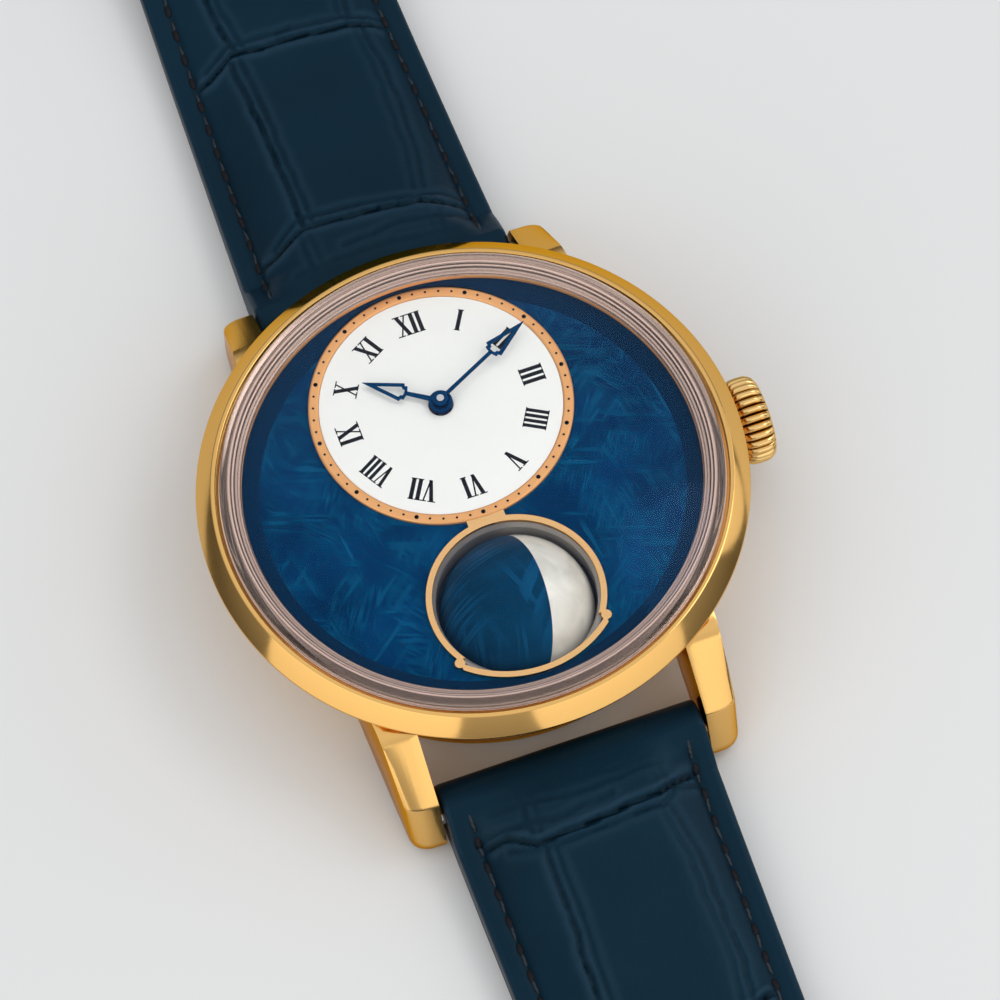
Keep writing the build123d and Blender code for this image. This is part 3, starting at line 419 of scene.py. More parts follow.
def stitch_tree(material):
    """Stitches along a line, a little uneven, each sunk at its ends."""
    tree, start, end = new_tree("Stitches", Pitch=0.002, Length=0.0017, Thread=0.0004, Seed=1)
    line = wire(tree, "GeometryNodeMeshToCurve", {"Mesh": start["Geometry"]})
    even = wire(tree, "GeometryNodeResampleCurve", {"Curve": line, "Length": start["Pitch"]}, mode="LENGTH")
    tangent = wire(tree, "GeometryNodeInputTangent")
    facing = wire(tree, "FunctionNodeAlignEulerToVector", {"Vector": tangent}, axis="Y")
    uneven = wire(tree, "FunctionNodeRandomValue", {
        "Min": (-0.05, -0.02, -0.14), "Max": (0.05, 0.02, 0.14), "Seed": start["Seed"],
    }, data_type="FLOAT_VECTOR")
    turned = wire(tree, "FunctionNodeRotateEuler", {"Rotation": facing, "Rotate By": uneven})
    ball = wire(tree, "GeometryNodeMeshUVSphere", {"Segments": 10, "Rings": 8, "Radius": 0.5})
    size = wire(tree, "ShaderNodeCombineXYZ", {
        0: start["Thread"], 1: start["Length"], 2: start["Thread"],
    })
    sized = wire(tree, "GeometryNodeTransform", {"Geometry": ball.outputs["Mesh"], "Scale": size})
    laid = wire(tree, "GeometryNodeInstanceOnPoints", {
        "Points": even, "Instance": sized, "Rotation": turned,
    })
    shaded = wire(tree, "GeometryNodeSetShadeSmooth", {"Geometry": laid})
    end_tree(tree, shaded, material, end)
    return tree


def screw_tree(material):
    """Slotted screw heads at points, each slot turned its own way."""
    tree, start, end = new_tree("Screws", Width=0.0015, Height=0.0003, Slot=0.00022, Seed=3)
    radius = maths(tree, "MULTIPLY", start["Width"], 0.5)
    head = wire(tree, "GeometryNodeMeshCylinder", {
        "Vertices": 40, "Radius": radius, "Depth": start["Height"],
    })
    long = maths(tree, "MULTIPLY", start["Width"], 1.2)
    size = wire(tree, "ShaderNodeCombineXYZ", {
        0: long, 1: start["Slot"], 2: start["Height"],
    })
    bar = wire(tree, "GeometryNodeMeshCube", {"Size": size})
    drop = maths(tree, "MULTIPLY", start["Height"], -0.62)
    low = wire(tree, "ShaderNodeCombineXYZ", {0: 0.0, 1: 0.0, 2: drop})
    sunk = wire(tree, "GeometryNodeTransform", {"Geometry": bar.outputs["Mesh"], "Translation": low})
    cut = wire(tree, "GeometryNodeMeshBoolean", {
        "Mesh 1": head.outputs["Mesh"], "Mesh 2": sunk,
    }, operation="DIFFERENCE")
    turn = wire(tree, "FunctionNodeRandomValue", {
        "Min": (0.0, 0.0, 0.0), "Max": (0.0, 0.0, 3.1), "Seed": start["Seed"],
    }, data_type="FLOAT_VECTOR")
    placed = wire(tree, "GeometryNodeInstanceOnPoints", {
        "Points": start["Geometry"], "Instance": cut.outputs["Mesh"], "Rotation": turn,
    })
    end_tree(tree, placed, material, end)
    return tree


def jewel_tree(material):
    """Domed jewels at points, each with its oil sink."""
    tree, start, end = new_tree("Jewels", Width=0.0013, Height=0.00018)
    half = maths(tree, "MULTIPLY", start["Width"], 0.5)
    body = wire(tree, "GeometryNodeMeshCylinder", {
        "Vertices": 40, "Side Segments": 1, "Fill Segments": 4, "Radius": half, "Depth": start["Height"],
    })
    place = wire(tree, "GeometryNodeInputPosition")
    reach = wire(tree, "ShaderNodeVectorMath", {0: place, 1: (1.0, 1.0, 0.0)}, operation="MULTIPLY")
    away = wire(tree, "ShaderNodeVectorMath", {0: reach}, operation="LENGTH")
    dip = spread(tree, away.outputs["Value"], 0.0, half, start["Height"], 0.0)
    push = wire(tree, "ShaderNodeCombineXYZ", {0: 0.0, 1: 0.0, 2: dip})
    dished = wire(tree, "GeometryNodeSetPosition", {"Geometry": body.outputs["Mesh"], "Offset": push})
    placed = wire(tree, "GeometryNodeInstanceOnPoints", {"Points": start["Geometry"], "Instance": dished})
    end_tree(tree, placed, material, end)
    return tree


def hole_tree(material):
    """The row of oval punches for the holes of the strap."""
    tree, start, end = new_tree("Holes", Count=6, Pitch=0.0065, Width=0.0014, Length=0.0024, Start=(0.0, 0.0, 0.0))
    step = wire(tree, "ShaderNodeCombineXYZ", {0: 0.0, 1: start["Pitch"], 2: 0.0})
    line = wire(tree, "GeometryNodeMeshLine", {
        "Count": start["Count"], "Start Location": start["Start"], "Offset": step,
    })
    punch = wire(tree, "GeometryNodeMeshCylinder", {"Vertices": 24, "Radius": 0.5, "Depth": 0.02})
    size = wire(tree, "ShaderNodeCombineXYZ", {0: start["Width"], 1: start["Length"], 2: 1.0})
    oval = wire(tree, "GeometryNodeTransform", {"Geometry": punch.outputs["Mesh"], "Scale": size})
    placed = wire(tree, "GeometryNodeInstanceOnPoints", {"Points": line, "Instance": oval})
    end_tree(tree, placed, material, end)
    return tree


def point_piece(name, points):
    """A bare piece that holds points for a tree, in metres."""
    mesh = bpy.data.meshes.new(name)
    mesh.from_pydata(points, [], [])
    return linked(name, mesh)


# Shared effects of the finishes


def new_group(name, outputs, **inputs):
    """A shader group with named inputs and outputs, built once."""
    group = bpy.data.node_groups.new(name, "ShaderNodeTree")
    return sockets(group, inputs, [(label, "NodeSocketFloat") for label in outputs])


def metal_grain():
    """Fine drawn lines or haze on metal: a roughness and a height."""
    if "Metal grain" in bpy.data.node_groups:
        return bpy.data.node_groups["Metal grain"]
    group, start, end = new_group(
        "Metal grain", ("Roughness", "Height"),
        Vector=(0.0, 0.0, 0.0), Stretch=(1.0, 1.0, 1.0), Scale=1000.0, Roughness=0.2, Spread=0.1,
    )
    drawn = wire(group, "ShaderNodeVectorMath", {0: start["Vector"], 1: start["Stretch"]}, operation="MULTIPLY")
    noise = wire(group, "ShaderNodeTexNoise", {"Vector": drawn, "Scale": start["Scale"], "Detail": 3.0})
    even = maths(group, "SUBTRACT", noise, 0.5)
    rough = maths(group, "MULTIPLY_ADD", even, start["Spread"], start["Roughness"], use_clamp=True)
    group.links.new(rough.outputs[0], end.inputs["Roughness"])
    group.links.new(noise.outputs[0], end.inputs["Height"])
    return group


def stone_streaks():
    """Straight streaks that cross in patches, and slow clouds."""
    if "Stone streaks" in bpy.data.node_groups:
        return bpy.data.node_groups["Stone streaks"]
    group, start, end = new_group(
        "Stone streaks", ("Streaks", "Clouds"), Vector=(0.0, 0.0, 0.0), Scale=300.0, Turn=0.3,
    )
    layers = []
    for number, (angle, fine) in enumerate(((0.0, 1.0), (1.05, 1.0), (2.1, 1.0), (0.5, 2.6), (1.75, 2.6))):
        turn = maths(group, "ADD", start["Turn"], angle)
        turned = wire(group, "ShaderNodeVectorRotate", {
            "Vector": start["Vector"], "Angle": turn,
        }, rotation_type="Z_AXIS")
        drawn = wire(group, "ShaderNodeVectorMath", {0: turned, 1: (0.07 * fine, fine, 0.0)}, operation="MULTIPLY")
        cells = wire(group, "ShaderNodeTexVoronoi", {"Vector": drawn, "Scale": start["Scale"]})
        pick = wire(group, "ShaderNodeSeparateXYZ", {0: cells.outputs["Color"]})
        crisp = spread(group, pick.outputs["X"], 0.5, 1.0)
        shift = wire(group, "ShaderNodeVectorMath", {
            0: start["Vector"], 1: (0.013 * number, 0.007 * number, 0.003 * number),
        }, operation="ADD")
        far = maths(group, "MULTIPLY", start["Scale"], 0.08)
        patch = wire(group, "ShaderNodeTexNoise", {"Vector": shift, "Scale": far, "Detail": 1.0})
        mask = spread(group, patch, 0.46, 0.62)
        shown = maths(group, "MULTIPLY", crisp, mask)
        layers.append(shown if not layers else maths(group, "MAXIMUM", layers[-1], shown))
    slow = maths(group, "MULTIPLY", start["Scale"], 0.05)
    clouds = wire(group, "ShaderNodeTexNoise", {"Vector": start["Vector"], "Scale": slow, "Detail": 3.0})
    group.links.new(layers[-1].outputs[0], end.inputs["Streaks"])
    group.links.new(clouds.outputs[0], end.inputs["Clouds"])
    return group


def leather_grain():
    """Pores and soft creases of leather: a shade and a height."""
    if "Leather grain" in bpy.data.node_groups:
        return bpy.data.node_groups["Leather grain"]
    group, start, end = new_group(
        "Leather grain", ("Shade", "Height"), Vector=(0.0, 0.0, 0.0), Pores=2600.0, Creases=500.0,
    )
    pores = wire(group, "ShaderNodeTexVoronoi", {"Vector": start["Vector"], "Scale": start["Pores"]})
    dip = spread(group, pores.outputs["Distance"], 0.0, 0.5)
    creases = wire(group, "ShaderNodeTexNoise", {
        "Vector": start["Vector"], "Scale": start["Creases"], "Detail": 5.0, "Roughness": 0.6, "Distortion": 0.6,
    })
    height = maths(group, "MULTIPLY_ADD", dip, 0.25, creases)
    slow = maths(group, "MULTIPLY", start["Creases"], 0.3)
    shade = wire(group, "ShaderNodeTexNoise", {"Vector": start["Vector"], "Scale": slow, "Detail": 4.0})
    group.links.new(shade.outputs[0], end.inputs["Shade"])
    group.links.new(height.outputs[0], end.inputs["Height"])
    return group


# Finishes


class Coat:
    """One material with its surface shader and its place."""

    def __init__(self, name, plain):
        """Start a material from its plain surface values."""
        self.material = bpy.data.materials.new(name)
        self.material.use_nodes = True
        self.tree = self.material.node_tree
        self.surface = self.tree.nodes["Principled BSDF"]
        for key, value in plain.items():
            self.surface.inputs[key].default_value = value
        self.place = self.add("ShaderNodeTexCoord").outputs["Object"]

    def add(self, kind, inputs=None, **fields):
        """Add a node to the material."""
        return wire(self.tree, kind, inputs, **fields)

    def use(self, group, inputs):
        """Place a shared effect in the material."""
        return self.add("ShaderNodeGroup", inputs, node_tree=group)

    def spread(self, value, low, high, to_low=0.0, to_high=1.0):
        """Spread a value from one span over another."""
        return spread(self.tree, value, low, high, to_low, to_high)

    def maths(self, operation, *values, **fields):
        """Add a sum of up to three values."""
        return maths(self.tree, operation, *values, **fields)

    def feed(self, key, value):
        """Feed an input of the surface."""
        self.tree.links.new(first(value), self.surface.inputs[key])

    def bump(self, height, distance, strength=1.0):
        """Raise the surface by a height."""
        self.feed("Normal", self.add("ShaderNodeBump", {
            "Height": height, "Distance": distance, "Strength": strength,
        }))

    def mix(self, factor, low, high):
        """Mix two colours or colour sockets."""
        return self.add("ShaderNodeMix", {0: factor, 6: low, 7: high}, data_type="RGBA").outputs[2]


def rgb(value, share=1.0):
    """A colour with its alpha, made lighter or darker by a share."""
    return tuple(min(1.0, part * share) for part in value[:3]) + (1.0,)


def edge_tint(shade):
    """The colour of a metal at its grazing edges, nearly its own."""
    return tuple(part ** 0.85 for part in shade[:3]) + (1.0,)


def sheen(shade):
    """The hue of a colour at full strength, for the shine of paint and stone."""
    return tuple(part / max(shade[:3]) for part in shade[:3]) + (1.0,)


def metal(name, shade, roughness, uneven, scale=900.0, metallic=1.0):
    """A metal with its drawn lines or haze."""
    coat = Coat(name, {
        "Base Color": rgb(shade), "Metallic": metallic, "Roughness": roughness, "Specular Tint": edge_tint(shade),
    })
    grain = coat.use(metal_grain(), {
        "Vector": coat.place, "Scale": scale, "Roughness": roughness, "Spread": uneven,
    })
    coat.feed("Roughness", grain.outputs["Roughness"])
    return coat


def lined_finish(name, shade):
    """The wall under the crystal's edge, with fine turned lines."""
    coat = Coat(name, {"Base Color": rgb(shade), "Metallic": 0.8, "Roughness": 0.22})
    flat = coat.add("ShaderNodeVectorMath", {0: coat.place, 1: (1.0, 1.0, 0.0)}, operation="MULTIPLY")
    radius = coat.add("ShaderNodeVectorMath", {0: flat}, operation="LENGTH")
    lines = coat.add("ShaderNodeTexNoise", {
        "W": radius.outputs["Value"], "Scale": 4200.0, "Detail": 2.0,
    }, noise_dimensions="1D")
    dark = coat.spread(lines, 0.47, 0.36)
    pale = coat.spread(lines, 0.55, 0.66)
    shaded = coat.mix(dark, rgb(shade), rgb(shade, 0.22))
    coat.feed("Base Color", coat.mix(pale, shaded, rgb(shade, 1.4)))
    return coat


def fluted_finish(name, shade):
    """Polished gold, with painted shade that darkens it down in its grooves."""
    coat = metal(name, shade, 0.13, 0.05, 8000.0)
    sunk = coat.add("ShaderNodeAttribute", attribute_name="groove")
    low = coat.spread(sunk.outputs["Fac"], 0.3, 0.85)
    # painted shade: the gold turns deep brown where the dents are marked as groove
    coat.feed("Base Color", coat.mix(low, rgb(shade), (0.1, 0.045, 0.01, 1.0)))
    return coat


def stone_finish(name, deep, light, scale, turn, gloss):
    """Polished stone with crossing streaks."""
    coat = Coat(name, {
        "Base Color": rgb(deep), "Roughness": gloss, "Specular IOR Level": 0.08, "Specular Tint": sheen(deep),
    })
    streaks = coat.use(stone_streaks(), {"Vector": coat.place, "Scale": scale, "Turn": turn})
    clouds = coat.spread(streaks.outputs["Clouds"], 0.3, 0.7)
    cloudy = coat.mix(clouds, rgb(deep, 0.8), rgb(deep, 1.35))
    faint = coat.maths("MULTIPLY", streaks.outputs["Streaks"], 0.45)
    coat.feed("Base Color", coat.mix(faint, cloudy, light))
    rough = coat.maths("MULTIPLY_ADD", streaks.outputs["Streaks"], -0.15, gloss, use_clamp=True)
    coat.feed("Roughness", rough)
    return coat


def crystal_finish(name, shade):
    """Clear sapphire."""
    return Coat(name, {
        "Base Color": rgb(shade), "Metallic": 0.0, "Roughness": 0.0, "IOR": 1.55, "Transmission Weight": 1.0,
        "Specular Tint": (0.0, 0.03, 0.1, 1.0), "Coat Weight": 0.03, "Coat Roughness": 0.2,
    })


def enamel_finish(name, shade):
    """White enamel, glossy and a little uneven."""
    coat = Coat(name, {"Base Color": rgb(shade), "Roughness": 0.16, "Coat Weight": 0.4, "Coat Roughness": 0.02})
    cloud = coat.add("ShaderNodeTexNoise", {"Vector": coat.place, "Scale": 260.0, "Detail": 3.0})
    coat.feed("Base Color", coat.mix(cloud, rgb(shade, 0.985), rgb(shade, 1.01)))
    coat.bump(cloud, 0.01 * MM)
    return coat


def painted_finish(name, shade, roughness):
    """A thin paint or ink with a faint tooth."""
    coat = Coat(name, {
        "Base Color": rgb(shade), "Roughness": roughness, "Specular IOR Level": 0.08, "Specular Tint": sheen(shade),
    })
    tooth = coat.use(metal_grain(), {"Vector": coat.place, "Scale": 900.0, "Roughness": roughness, "Spread": 0.05})
    coat.feed("Roughness", tooth.outputs["Roughness"])
    coat.feed("Base Color", coat.mix(tooth.outputs["Height"], rgb(shade, 0.92), rgb(shade, 1.08)))
    return coat


def pearl_finish(name, shade):
    """Cream stone with slow veins."""
    coat = Coat(name, {"Base Color": rgb(shade), "Roughness": 0.2, "Coat Weight": 0.8, "Coat Roughness": 0.03})
    veins = coat.add("ShaderNodeTexNoise", {"Vector": coat.place, "Scale": 340.0, "Detail": 4.0, "Distortion": 1.2})
    mask = coat.spread(veins, 0.35, 0.7)
    coat.feed("Base Color", coat.mix(mask, rgb(shade, 0.82), rgb(shade, 1.05)))
    return coat


def leather_finish(name, shade, gloss, grooves):
    """Leather with pores, creases and random tone; with grooves, painted shade darkens the grooves and seam and
    painted highlight lightens the lips and rounded edges.
    """
    coat = Coat(name, {
        "Base Color": rgb(shade), "Roughness": gloss,
        "Specular IOR Level": 0.18, "Specular Tint": (0.45, 0.8, 1.0, 1.0),
    })
    grain = coat.use(leather_grain(), {"Vector": coat.place, "Pores": 2400.0, "Creases": 420.0})
    wear_and_painted_light = coat.mix(grain.outputs["Shade"], rgb(shade, 0.7), rgb(shade, 1.5))
    # painted highlight: the pale colour of the raised lips and rounded edges
    pale = tuple(2.2 * part + 0.012 for part in shade[:3]) + (1.0,)
    if grooves:
        # the groove mark above 0.5 paints shade into the grooves and seam, below 0.5 paints highlight
        sunk = coat.add("ShaderNodeAttribute", attribute_name="groove")
        low = coat.spread(sunk.outputs["Fac"], 0.5, 0.9)
        high = coat.spread(sunk.outputs["Fac"], 0.5, 0.05)
        wear_and_painted_light = coat.mix(high, wear_and_painted_light, pale)
        wear_and_painted_light = coat.mix(low, wear_and_painted_light, rgb(shade, 0.3))
    coat.feed("Base Color", wear_and_painted_light)
    coat.bump(grain.outputs["Height"], 0.035 * MM)
    return coat


def thread_finish(name, shade):
    """Waxed thread with its twist, its lighter and darker bands painted light and shade on the twisted strands."""
    coat = Coat(name, {"Base Color": rgb(shade), "Roughness": 0.55})
    twist = coat.add("ShaderNodeTexWave", {
        "Vector": coat.place, "Scale": 900.0, "Distortion": 0.6,
    }, bands_direction="DIAGONAL")
    # painted light and shade: the twist bands run from dark to pale
    coat.feed("Base Color", coat.mix(twist, rgb(shade, 0.6), rgb(shade, 2.2)))
    coat.bump(twist, 0.03 * MM)
    return coat


def striped_finish(name, shade):
    """Plated metal with broad polished stripes."""
    coat = Coat(name, {"Base Color": rgb(shade), "Metallic": 1.0, "Roughness": 0.25})
    turned = coat.add("ShaderNodeVectorRotate", {"Vector": coat.place, "Angle": 0.7}, rotation_type="Z_AXIS")
    stripes = coat.add("ShaderNodeTexWave", {"Vector": turned, "Scale": 95.0}, wave_profile="SAW")
    grain = coat.use(metal_grain(), {
        "Vector": turned, "Stretch": (1.0, 0.05, 1.0), "Scale": 6000.0, "Roughness": 0.26, "Spread": 0.2,
    })
    rough = coat.maths("MULTIPLY_ADD", stripes.outputs["Fac"], 0.16, grain.outputs["Roughness"])
    coat.feed("Roughness", rough)
    coat.feed("Base Color", coat.mix(stripes.outputs["Fac"], rgb(shade, 1.12), rgb(shade, 0.8)))
    coat.bump(stripes.outputs["Fac"], 0.05 * MM, 0.5)
    return coat


def spotted_finish(name, shade):
    """Plated metal with overlapping circular spots."""
    coat = Coat(name, {"Base Color": rgb(shade), "Metallic": 1.0, "Roughness": 0.3})
    spots = coat.add("ShaderNodeTexVoronoi", {"Vector": coat.place, "Scale": 900.0, "Randomness": 0.15})
    rings = coat.maths("MULTIPLY", spots.outputs["Distance"], 34.0)
    wave = coat.maths("SINE", rings)
    half = coat.spread(wave, -1.0, 1.0, 0.2, 0.4)
    coat.feed("Roughness", half)
    coat.feed("Base Color", coat.mix(spots.outputs["Distance"], rgb(shade, 0.72), rgb(shade, 1.1)))
    coat.bump(wave, 0.01 * MM, 0.6)
    return coat


def ruby_finish(name, shade):
    """Polished synthetic ruby."""
    coat = Coat(name, {"Base Color": rgb(shade), "Roughness": 0.04, "Coat Weight": 1.0, "Coat Roughness": 0.02})
    depth = coat.add("ShaderNodeTexNoise", {"Vector": coat.place, "Scale": 500.0})
    coat.feed("Base Color", coat.mix(depth, rgb(shade, 0.7), rgb(shade, 1.2)))
    return coat


def finish(name):
    """The material of a name, made when it is first used."""
    made = bpy.data.materials.get("finish_" + name)
    if made:
        return made
    tint = bpy.context.scene.watch_colours
    makers = {
        "case_gold": (metal, tint.gold, 0.17, 0.08, 5000.0),
        "bezel_gold": (metal, tint.gold, 0.1, 0.08, 600.0),
        "crown_gold": (fluted_finish, (0.83, 0.54, 0.21)),
        "ring_satin": (metal, tint.ring, 0.36, 0.06, 30000.0, 0.5),
        "frame_gold": (metal, (0.88, 0.52, 0.22), 0.2, 0.04, 8000.0),
        "rose_metal": (lined_finish, tint.rose),
        "sapphire": (crystal_finish, (0.98, 0.985, 0.99)),
        "stone_blue": (stone_finish, tint.stone, rgb(tint.streak), 3600.0, 0.35, 0.3),
        "flange_paint": (painted_finish, tint.flange, 0.42),
        "white_enamel": (enamel_finish, tint.enamel),
        "black_ink": (painted_finish, tint.ink, 0.4),
        "hand_blue": (metal, tint.hand, 0.3, 0.06, 9000.0, 0.85),
        "moon_night": (stone_finish, tint.moon_dark, rgb(tint.moon_dark, 3.5), 1500.0, 1.2, 0.4),
        "moon_day": (pearl_finish, tint.moon_light),
        "polished_steel": (metal, tint.steel, 0.14, 0.08),
        "well_steel": (metal, (0.34, 0.315, 0.29), 0.36, 0.06, 5000.0, 0.4),
        "striped_plate": (striped_finish, tint.plate),
        "spotted_plate": (spotted_finish, tint.plate),
        "satin_brass": (metal, tint.brass, 0.26, 0.16, 4000.0),
        "polished_brass": (metal, tint.brass, 0.13, 0.06),
        "blued_screw": (metal, (0.03, 0.12, 0.5), 0.15, 0.05),
        "ruby": (ruby_finish, tint.ruby),
        "scale_leather": (leather_finish, tint.leather, 0.42, True),
        "plain_leather": (leather_finish, tint.leather, 0.46, False),
        "lining_leather": (leather_finish, tint.lining, 0.6, False),
        "dark_thread": (thread_finish, tint.thread),
    }
    maker, *values = makers[name]
    return maker("finish_" + name, *values).material


# Strap shapes, worked out in millimetres

BAR_Y = 23.1
BAR_Z = 3.2
END_R = 2.6
ROOT_HALF = 10.85
TIP_HALF = 9.0
SHORT_LENGTH = 75.0
LONG_LENGTH = 116.0
TOP_LINE = ((0.0, 5.8), (3.49, 5.95), (10.9, 5.0), (21.8, 3.6), (42.0, 2.6))
FLAT_TOP = 2.6
RISE = ((26.0, 0.0), (37.0, 1.2))
WRAP_R = 1.6
TIP_LENGTH = 9.0
PLAIN_MARK = 0.5
# a little under the plain 0.5: painted highlight on the rounded edges of the strap
EDGE_HIGHLIGHT_MARK = 0.42


def eased(values):
    """Smooth a row of samples taken every tenth of a millimetre."""
    window = np.hanning(43)
    padded = np.pad(values, 21, mode="edge")
    return np.convolve(padded, window / window.sum(), mode="valid")


class StrapHalf:
    """The shape of one half of the strap, along from its bar and across it."""

    def __init__(self, sizes, pointed):
        """Take the sizes, draw the top and bottom lines and lay the grooves."""
        self.sizes = sizes
        self.pointed = pointed
        self.length = LONG_LENGTH if pointed else SHORT_LENGTH
        self.end = self.length if pointed else self.length + WRAP_R
        self.line = np.arange(0.0, self.end + 0.05, 0.1)
        top = list(TOP_LINE)
        if pointed:
            top.append((self.end, FLAT_TOP))
            low = [(0.0, BAR_Z - END_R), (9.0, 0.0), (self.end, 0.0)]
        else:
            top = top[:-1] + [(RISE[1][0], FLAT_TOP + RISE[1][1]), (self.end, FLAT_TOP + RISE[1][1])]
            low = [(0.0, BAR_Z - END_R), (9.0, 0.0), RISE[0], RISE[1], (self.end, RISE[1][1])]
        self.top_line = eased(np.interp(self.line, *zip(*top)))
        self.low_line = eased(np.interp(self.line, *zip(*low)))
        self.grooves = self.lay_grooves()

    def half_width(self, s):
        """Half the width at a distance from the bar."""
        taper = self.length - TIP_LENGTH if self.pointed else self.length
        share = np.clip((s - END_R) / (taper - END_R), 0.0, 1.0)
        half = ROOT_HALF + (TIP_HALF - ROOT_HALF) * share
        if self.pointed:
            past = np.clip((s - taper) / TIP_LENGTH, 0.0, 1.0)
            half = half * np.sqrt(np.clip(1.0 - past ** 2.2, 0.0004, 1.0))
        return half

    def heights(self, s):
        """The lowest and highest level at a distance from the bar."""
        top = np.interp(s, self.line, self.top_line)
        low = np.interp(s, self.line, self.low_line)
        back = np.sqrt(np.clip(END_R ** 2 - np.minimum(s, 0.0) ** 2, 0.0, None))
        blend = np.clip((s + 0.4) / 2.4, 0.0, 1.0)
        top = np.where(s < 2.0, (BAR_Z + back) * (1 - blend) + top * blend, top)
        low = np.where(s < 2.0, (BAR_Z - back) * (1 - blend) + low * blend, low)
        if self.pointed:
            past = np.clip((s - self.end + 1.2) / 1.2, 0.0, 1.0)
            middle_z = (top + low) / 2
            keep = np.sqrt(np.clip(1.0 - past ** 2, 0.02, 1.0))
            top, low = middle_z + (top - middle_z) * keep, middle_z + (low - middle_z) * keep
        else:
            middle_z = RISE[1][1] + FLAT_TOP / 2
            round_off = np.sqrt(np.clip(WRAP_R ** 2 - np.maximum(s - self.length, 0.0) ** 2, 0.0004, None))
            blend = np.clip((s - self.length + 4.0) / 3.0, 0.0, 1.0)
            top = top * (1 - blend) + (middle_z + round_off) * blend
            low = low * (1 - blend) + (middle_z - round_off) * blend
        return low, top

    def lay_grooves(self):
        """Lines of the grooves between the scales, each with its depth."""
        spacing = 18.6 if self.pointed else 18.9
        first = 5.2 if self.pointed else 6.0
        bend = ((-10.2, -1.3), (-7.2, -0.9), (-4.9, 0.5), (0.4, 0.1), (5.2, -0.4), (7.0, -1.0), (10.2, -2.0))
        flip = -1.0 if self.pointed else 1.0
        grooves = []
        chance = np.random.default_rng(self.sizes.seed)
        count = int((self.end - first) / spacing) + 1
        for along, left, right, depth in ((2.3, -6.5, 7.5, 0.3), (3.7, -2.0, 8.5, 0.35), (1.5, -8.0, 1.0, 0.25)):
            grooves.append(([(left, along), (0.5 * (left + right), along + 0.4), (right, along - 0.3)], depth))
        for row in range(count):
            s = first + row * spacing
            sway = 0.5 * math.sin(row * 2.3)
            line = [(x * flip + 0.2 * math.sin(row + x), s + rise + sway * x / 10) for x, rise in bend]
            grooves.append((line, 1.0))
            near = [(x, along + 0.8 + 0.25 * math.sin(x + row)) for x, along in line[1:]]
            grooves.append((near, 0.5))
        for side, reach, depth in ((-1, 4.9, 0.75), (1, 6.3, 0.45)):
            for row in range(-1, count):
                low = first + row * spacing + 0.8
                high = low + spacing - 1.2
                shift = 0.5 * math.sin(row * 1.7 + side)
                taper = 1.0 - 0.1 * max(row, 0) / max(count, 1)
                line = [
                    (side * flip * (reach * taper - 0.35), low), (side * flip * (reach + shift) * taper, low + 4.0),
                    (side * flip * (reach + shift + 0.25) * taper, high - 4.0),
                    (side * flip * (reach * taper + 0.2), high),
                ]
                fade = 0.5 if row < 0 else 1.0
                grooves.append((line, fade * depth))
                beside = [(x - side * flip * 0.8, along) for x, along in line]
                grooves.append((beside, fade * depth * 0.6))
        return [piece for line, depth in grooves for piece in self.wandering(line, depth, chance)]

    def wandering(self, line, depth, chance):
        """A groove cut into short pieces that stray a little and change in depth."""
        points = []
        for (x0, s0), (x1, s1) in zip(line, line[1:]):
            steps = max(1, int(math.hypot(x1 - x0, s1 - s0) / 1.1))
            points += [(x0 + (x1 - x0) * i / steps, s0 + (s1 - s0) * i / steps) for i in range(steps)]
        points.append(line[-1])
        strayed = [(x + chance.normal(0.0, 0.07), s + chance.normal(0.0, 0.07)) for x, s in points]
        return [([now, then], depth * chance.uniform(0.7, 1.0)) for now, then in zip(strayed, strayed[1:])]

    def groove(self, x, s):
        """How deep the grooves are at each place, from 0 to 1."""
        width = self.sizes.groove_width / MM
        depth = np.zeros_like(x)
        pillow = np.zeros_like(x)
        for line, share in self.grooves:
            for (x0, s0), (x1, s1) in zip(line, line[1:]):
                if min(s0, s1) - 3.0 > s.max() or max(s0, s1) + 3.0 < s.min():
                    continue
                dx, ds = x1 - x0, s1 - s0
                t = np.clip(((x - x0) * dx + (s - s0) * ds) / (dx * dx + ds * ds), 0.0, 1.0)
                away = np.hypot(x - x0 - t * dx, s - s0 - t * ds)
                depth = np.maximum(depth, share * np.exp(-(away / width) ** 2))
                pillow = np.maximum(pillow, share * np.exp(-((away - 2.0 * width) / (1.5 * width)) ** 2))
        return depth, pillow * (1.0 - depth)

    def surface(self, x, s):
        """The height of the top, and a mark that rises with the depth of a groove and the seam, for painted shade,
        and falls on the raised lips beside the grooves, for painted highlight.
        """
        low, top = self.heights(s)
        half = self.half_width(s)
        full = top - low
        sewn = self.sizes.edge_thickness / MM
        edge = np.minimum(full, sewn + 0.3 * np.maximum(full - sewn, 0.0))
        near_bar = np.clip((3.5 - s) / 3.0, 0.0, 1.0)
        edge = edge + (full - edge) * near_bar
        inward = half - np.abs(x) - self.sizes.margin / MM
        rise = np.clip(inward / (self.sizes.pad_width / MM), 0.0, 1.0)
        z = low + edge + (full - edge) * np.sin(rise * math.pi / 2) ** 0.9
        depth, pillow = self.groove(x, s)
        plain = np.clip((inward - 0.1) / 0.5, 0.0, 1.0) * np.clip((s - 1.2) / 1.5, 0.0, 1.0)
        if not self.pointed:
            plain = plain * np.clip((self.length - 6.0 - s) / 3.0, 0.0, 1.0)
        seam = np.exp(-(inward / 0.32) ** 2) * np.clip((s - 1.5) / 1.0, 0.0, 1.0)
        if self.pointed:
            seam = seam * np.clip((self.end - 5.0 - s) / 1.0, 0.0, 1.0)
        deep = self.sizes.groove_depth / MM
        z = z - plain * deep * (depth - 0.5 * pillow) - 0.14 * seam
        # mark: painted shade above 0.5 in grooves and seam, painted highlight below 0.5 on the lips
        return z, np.clip(0.5 + 0.5 * plain * (depth - 0.7 * pillow) + 0.15 * seam, 0.0, 1.0)

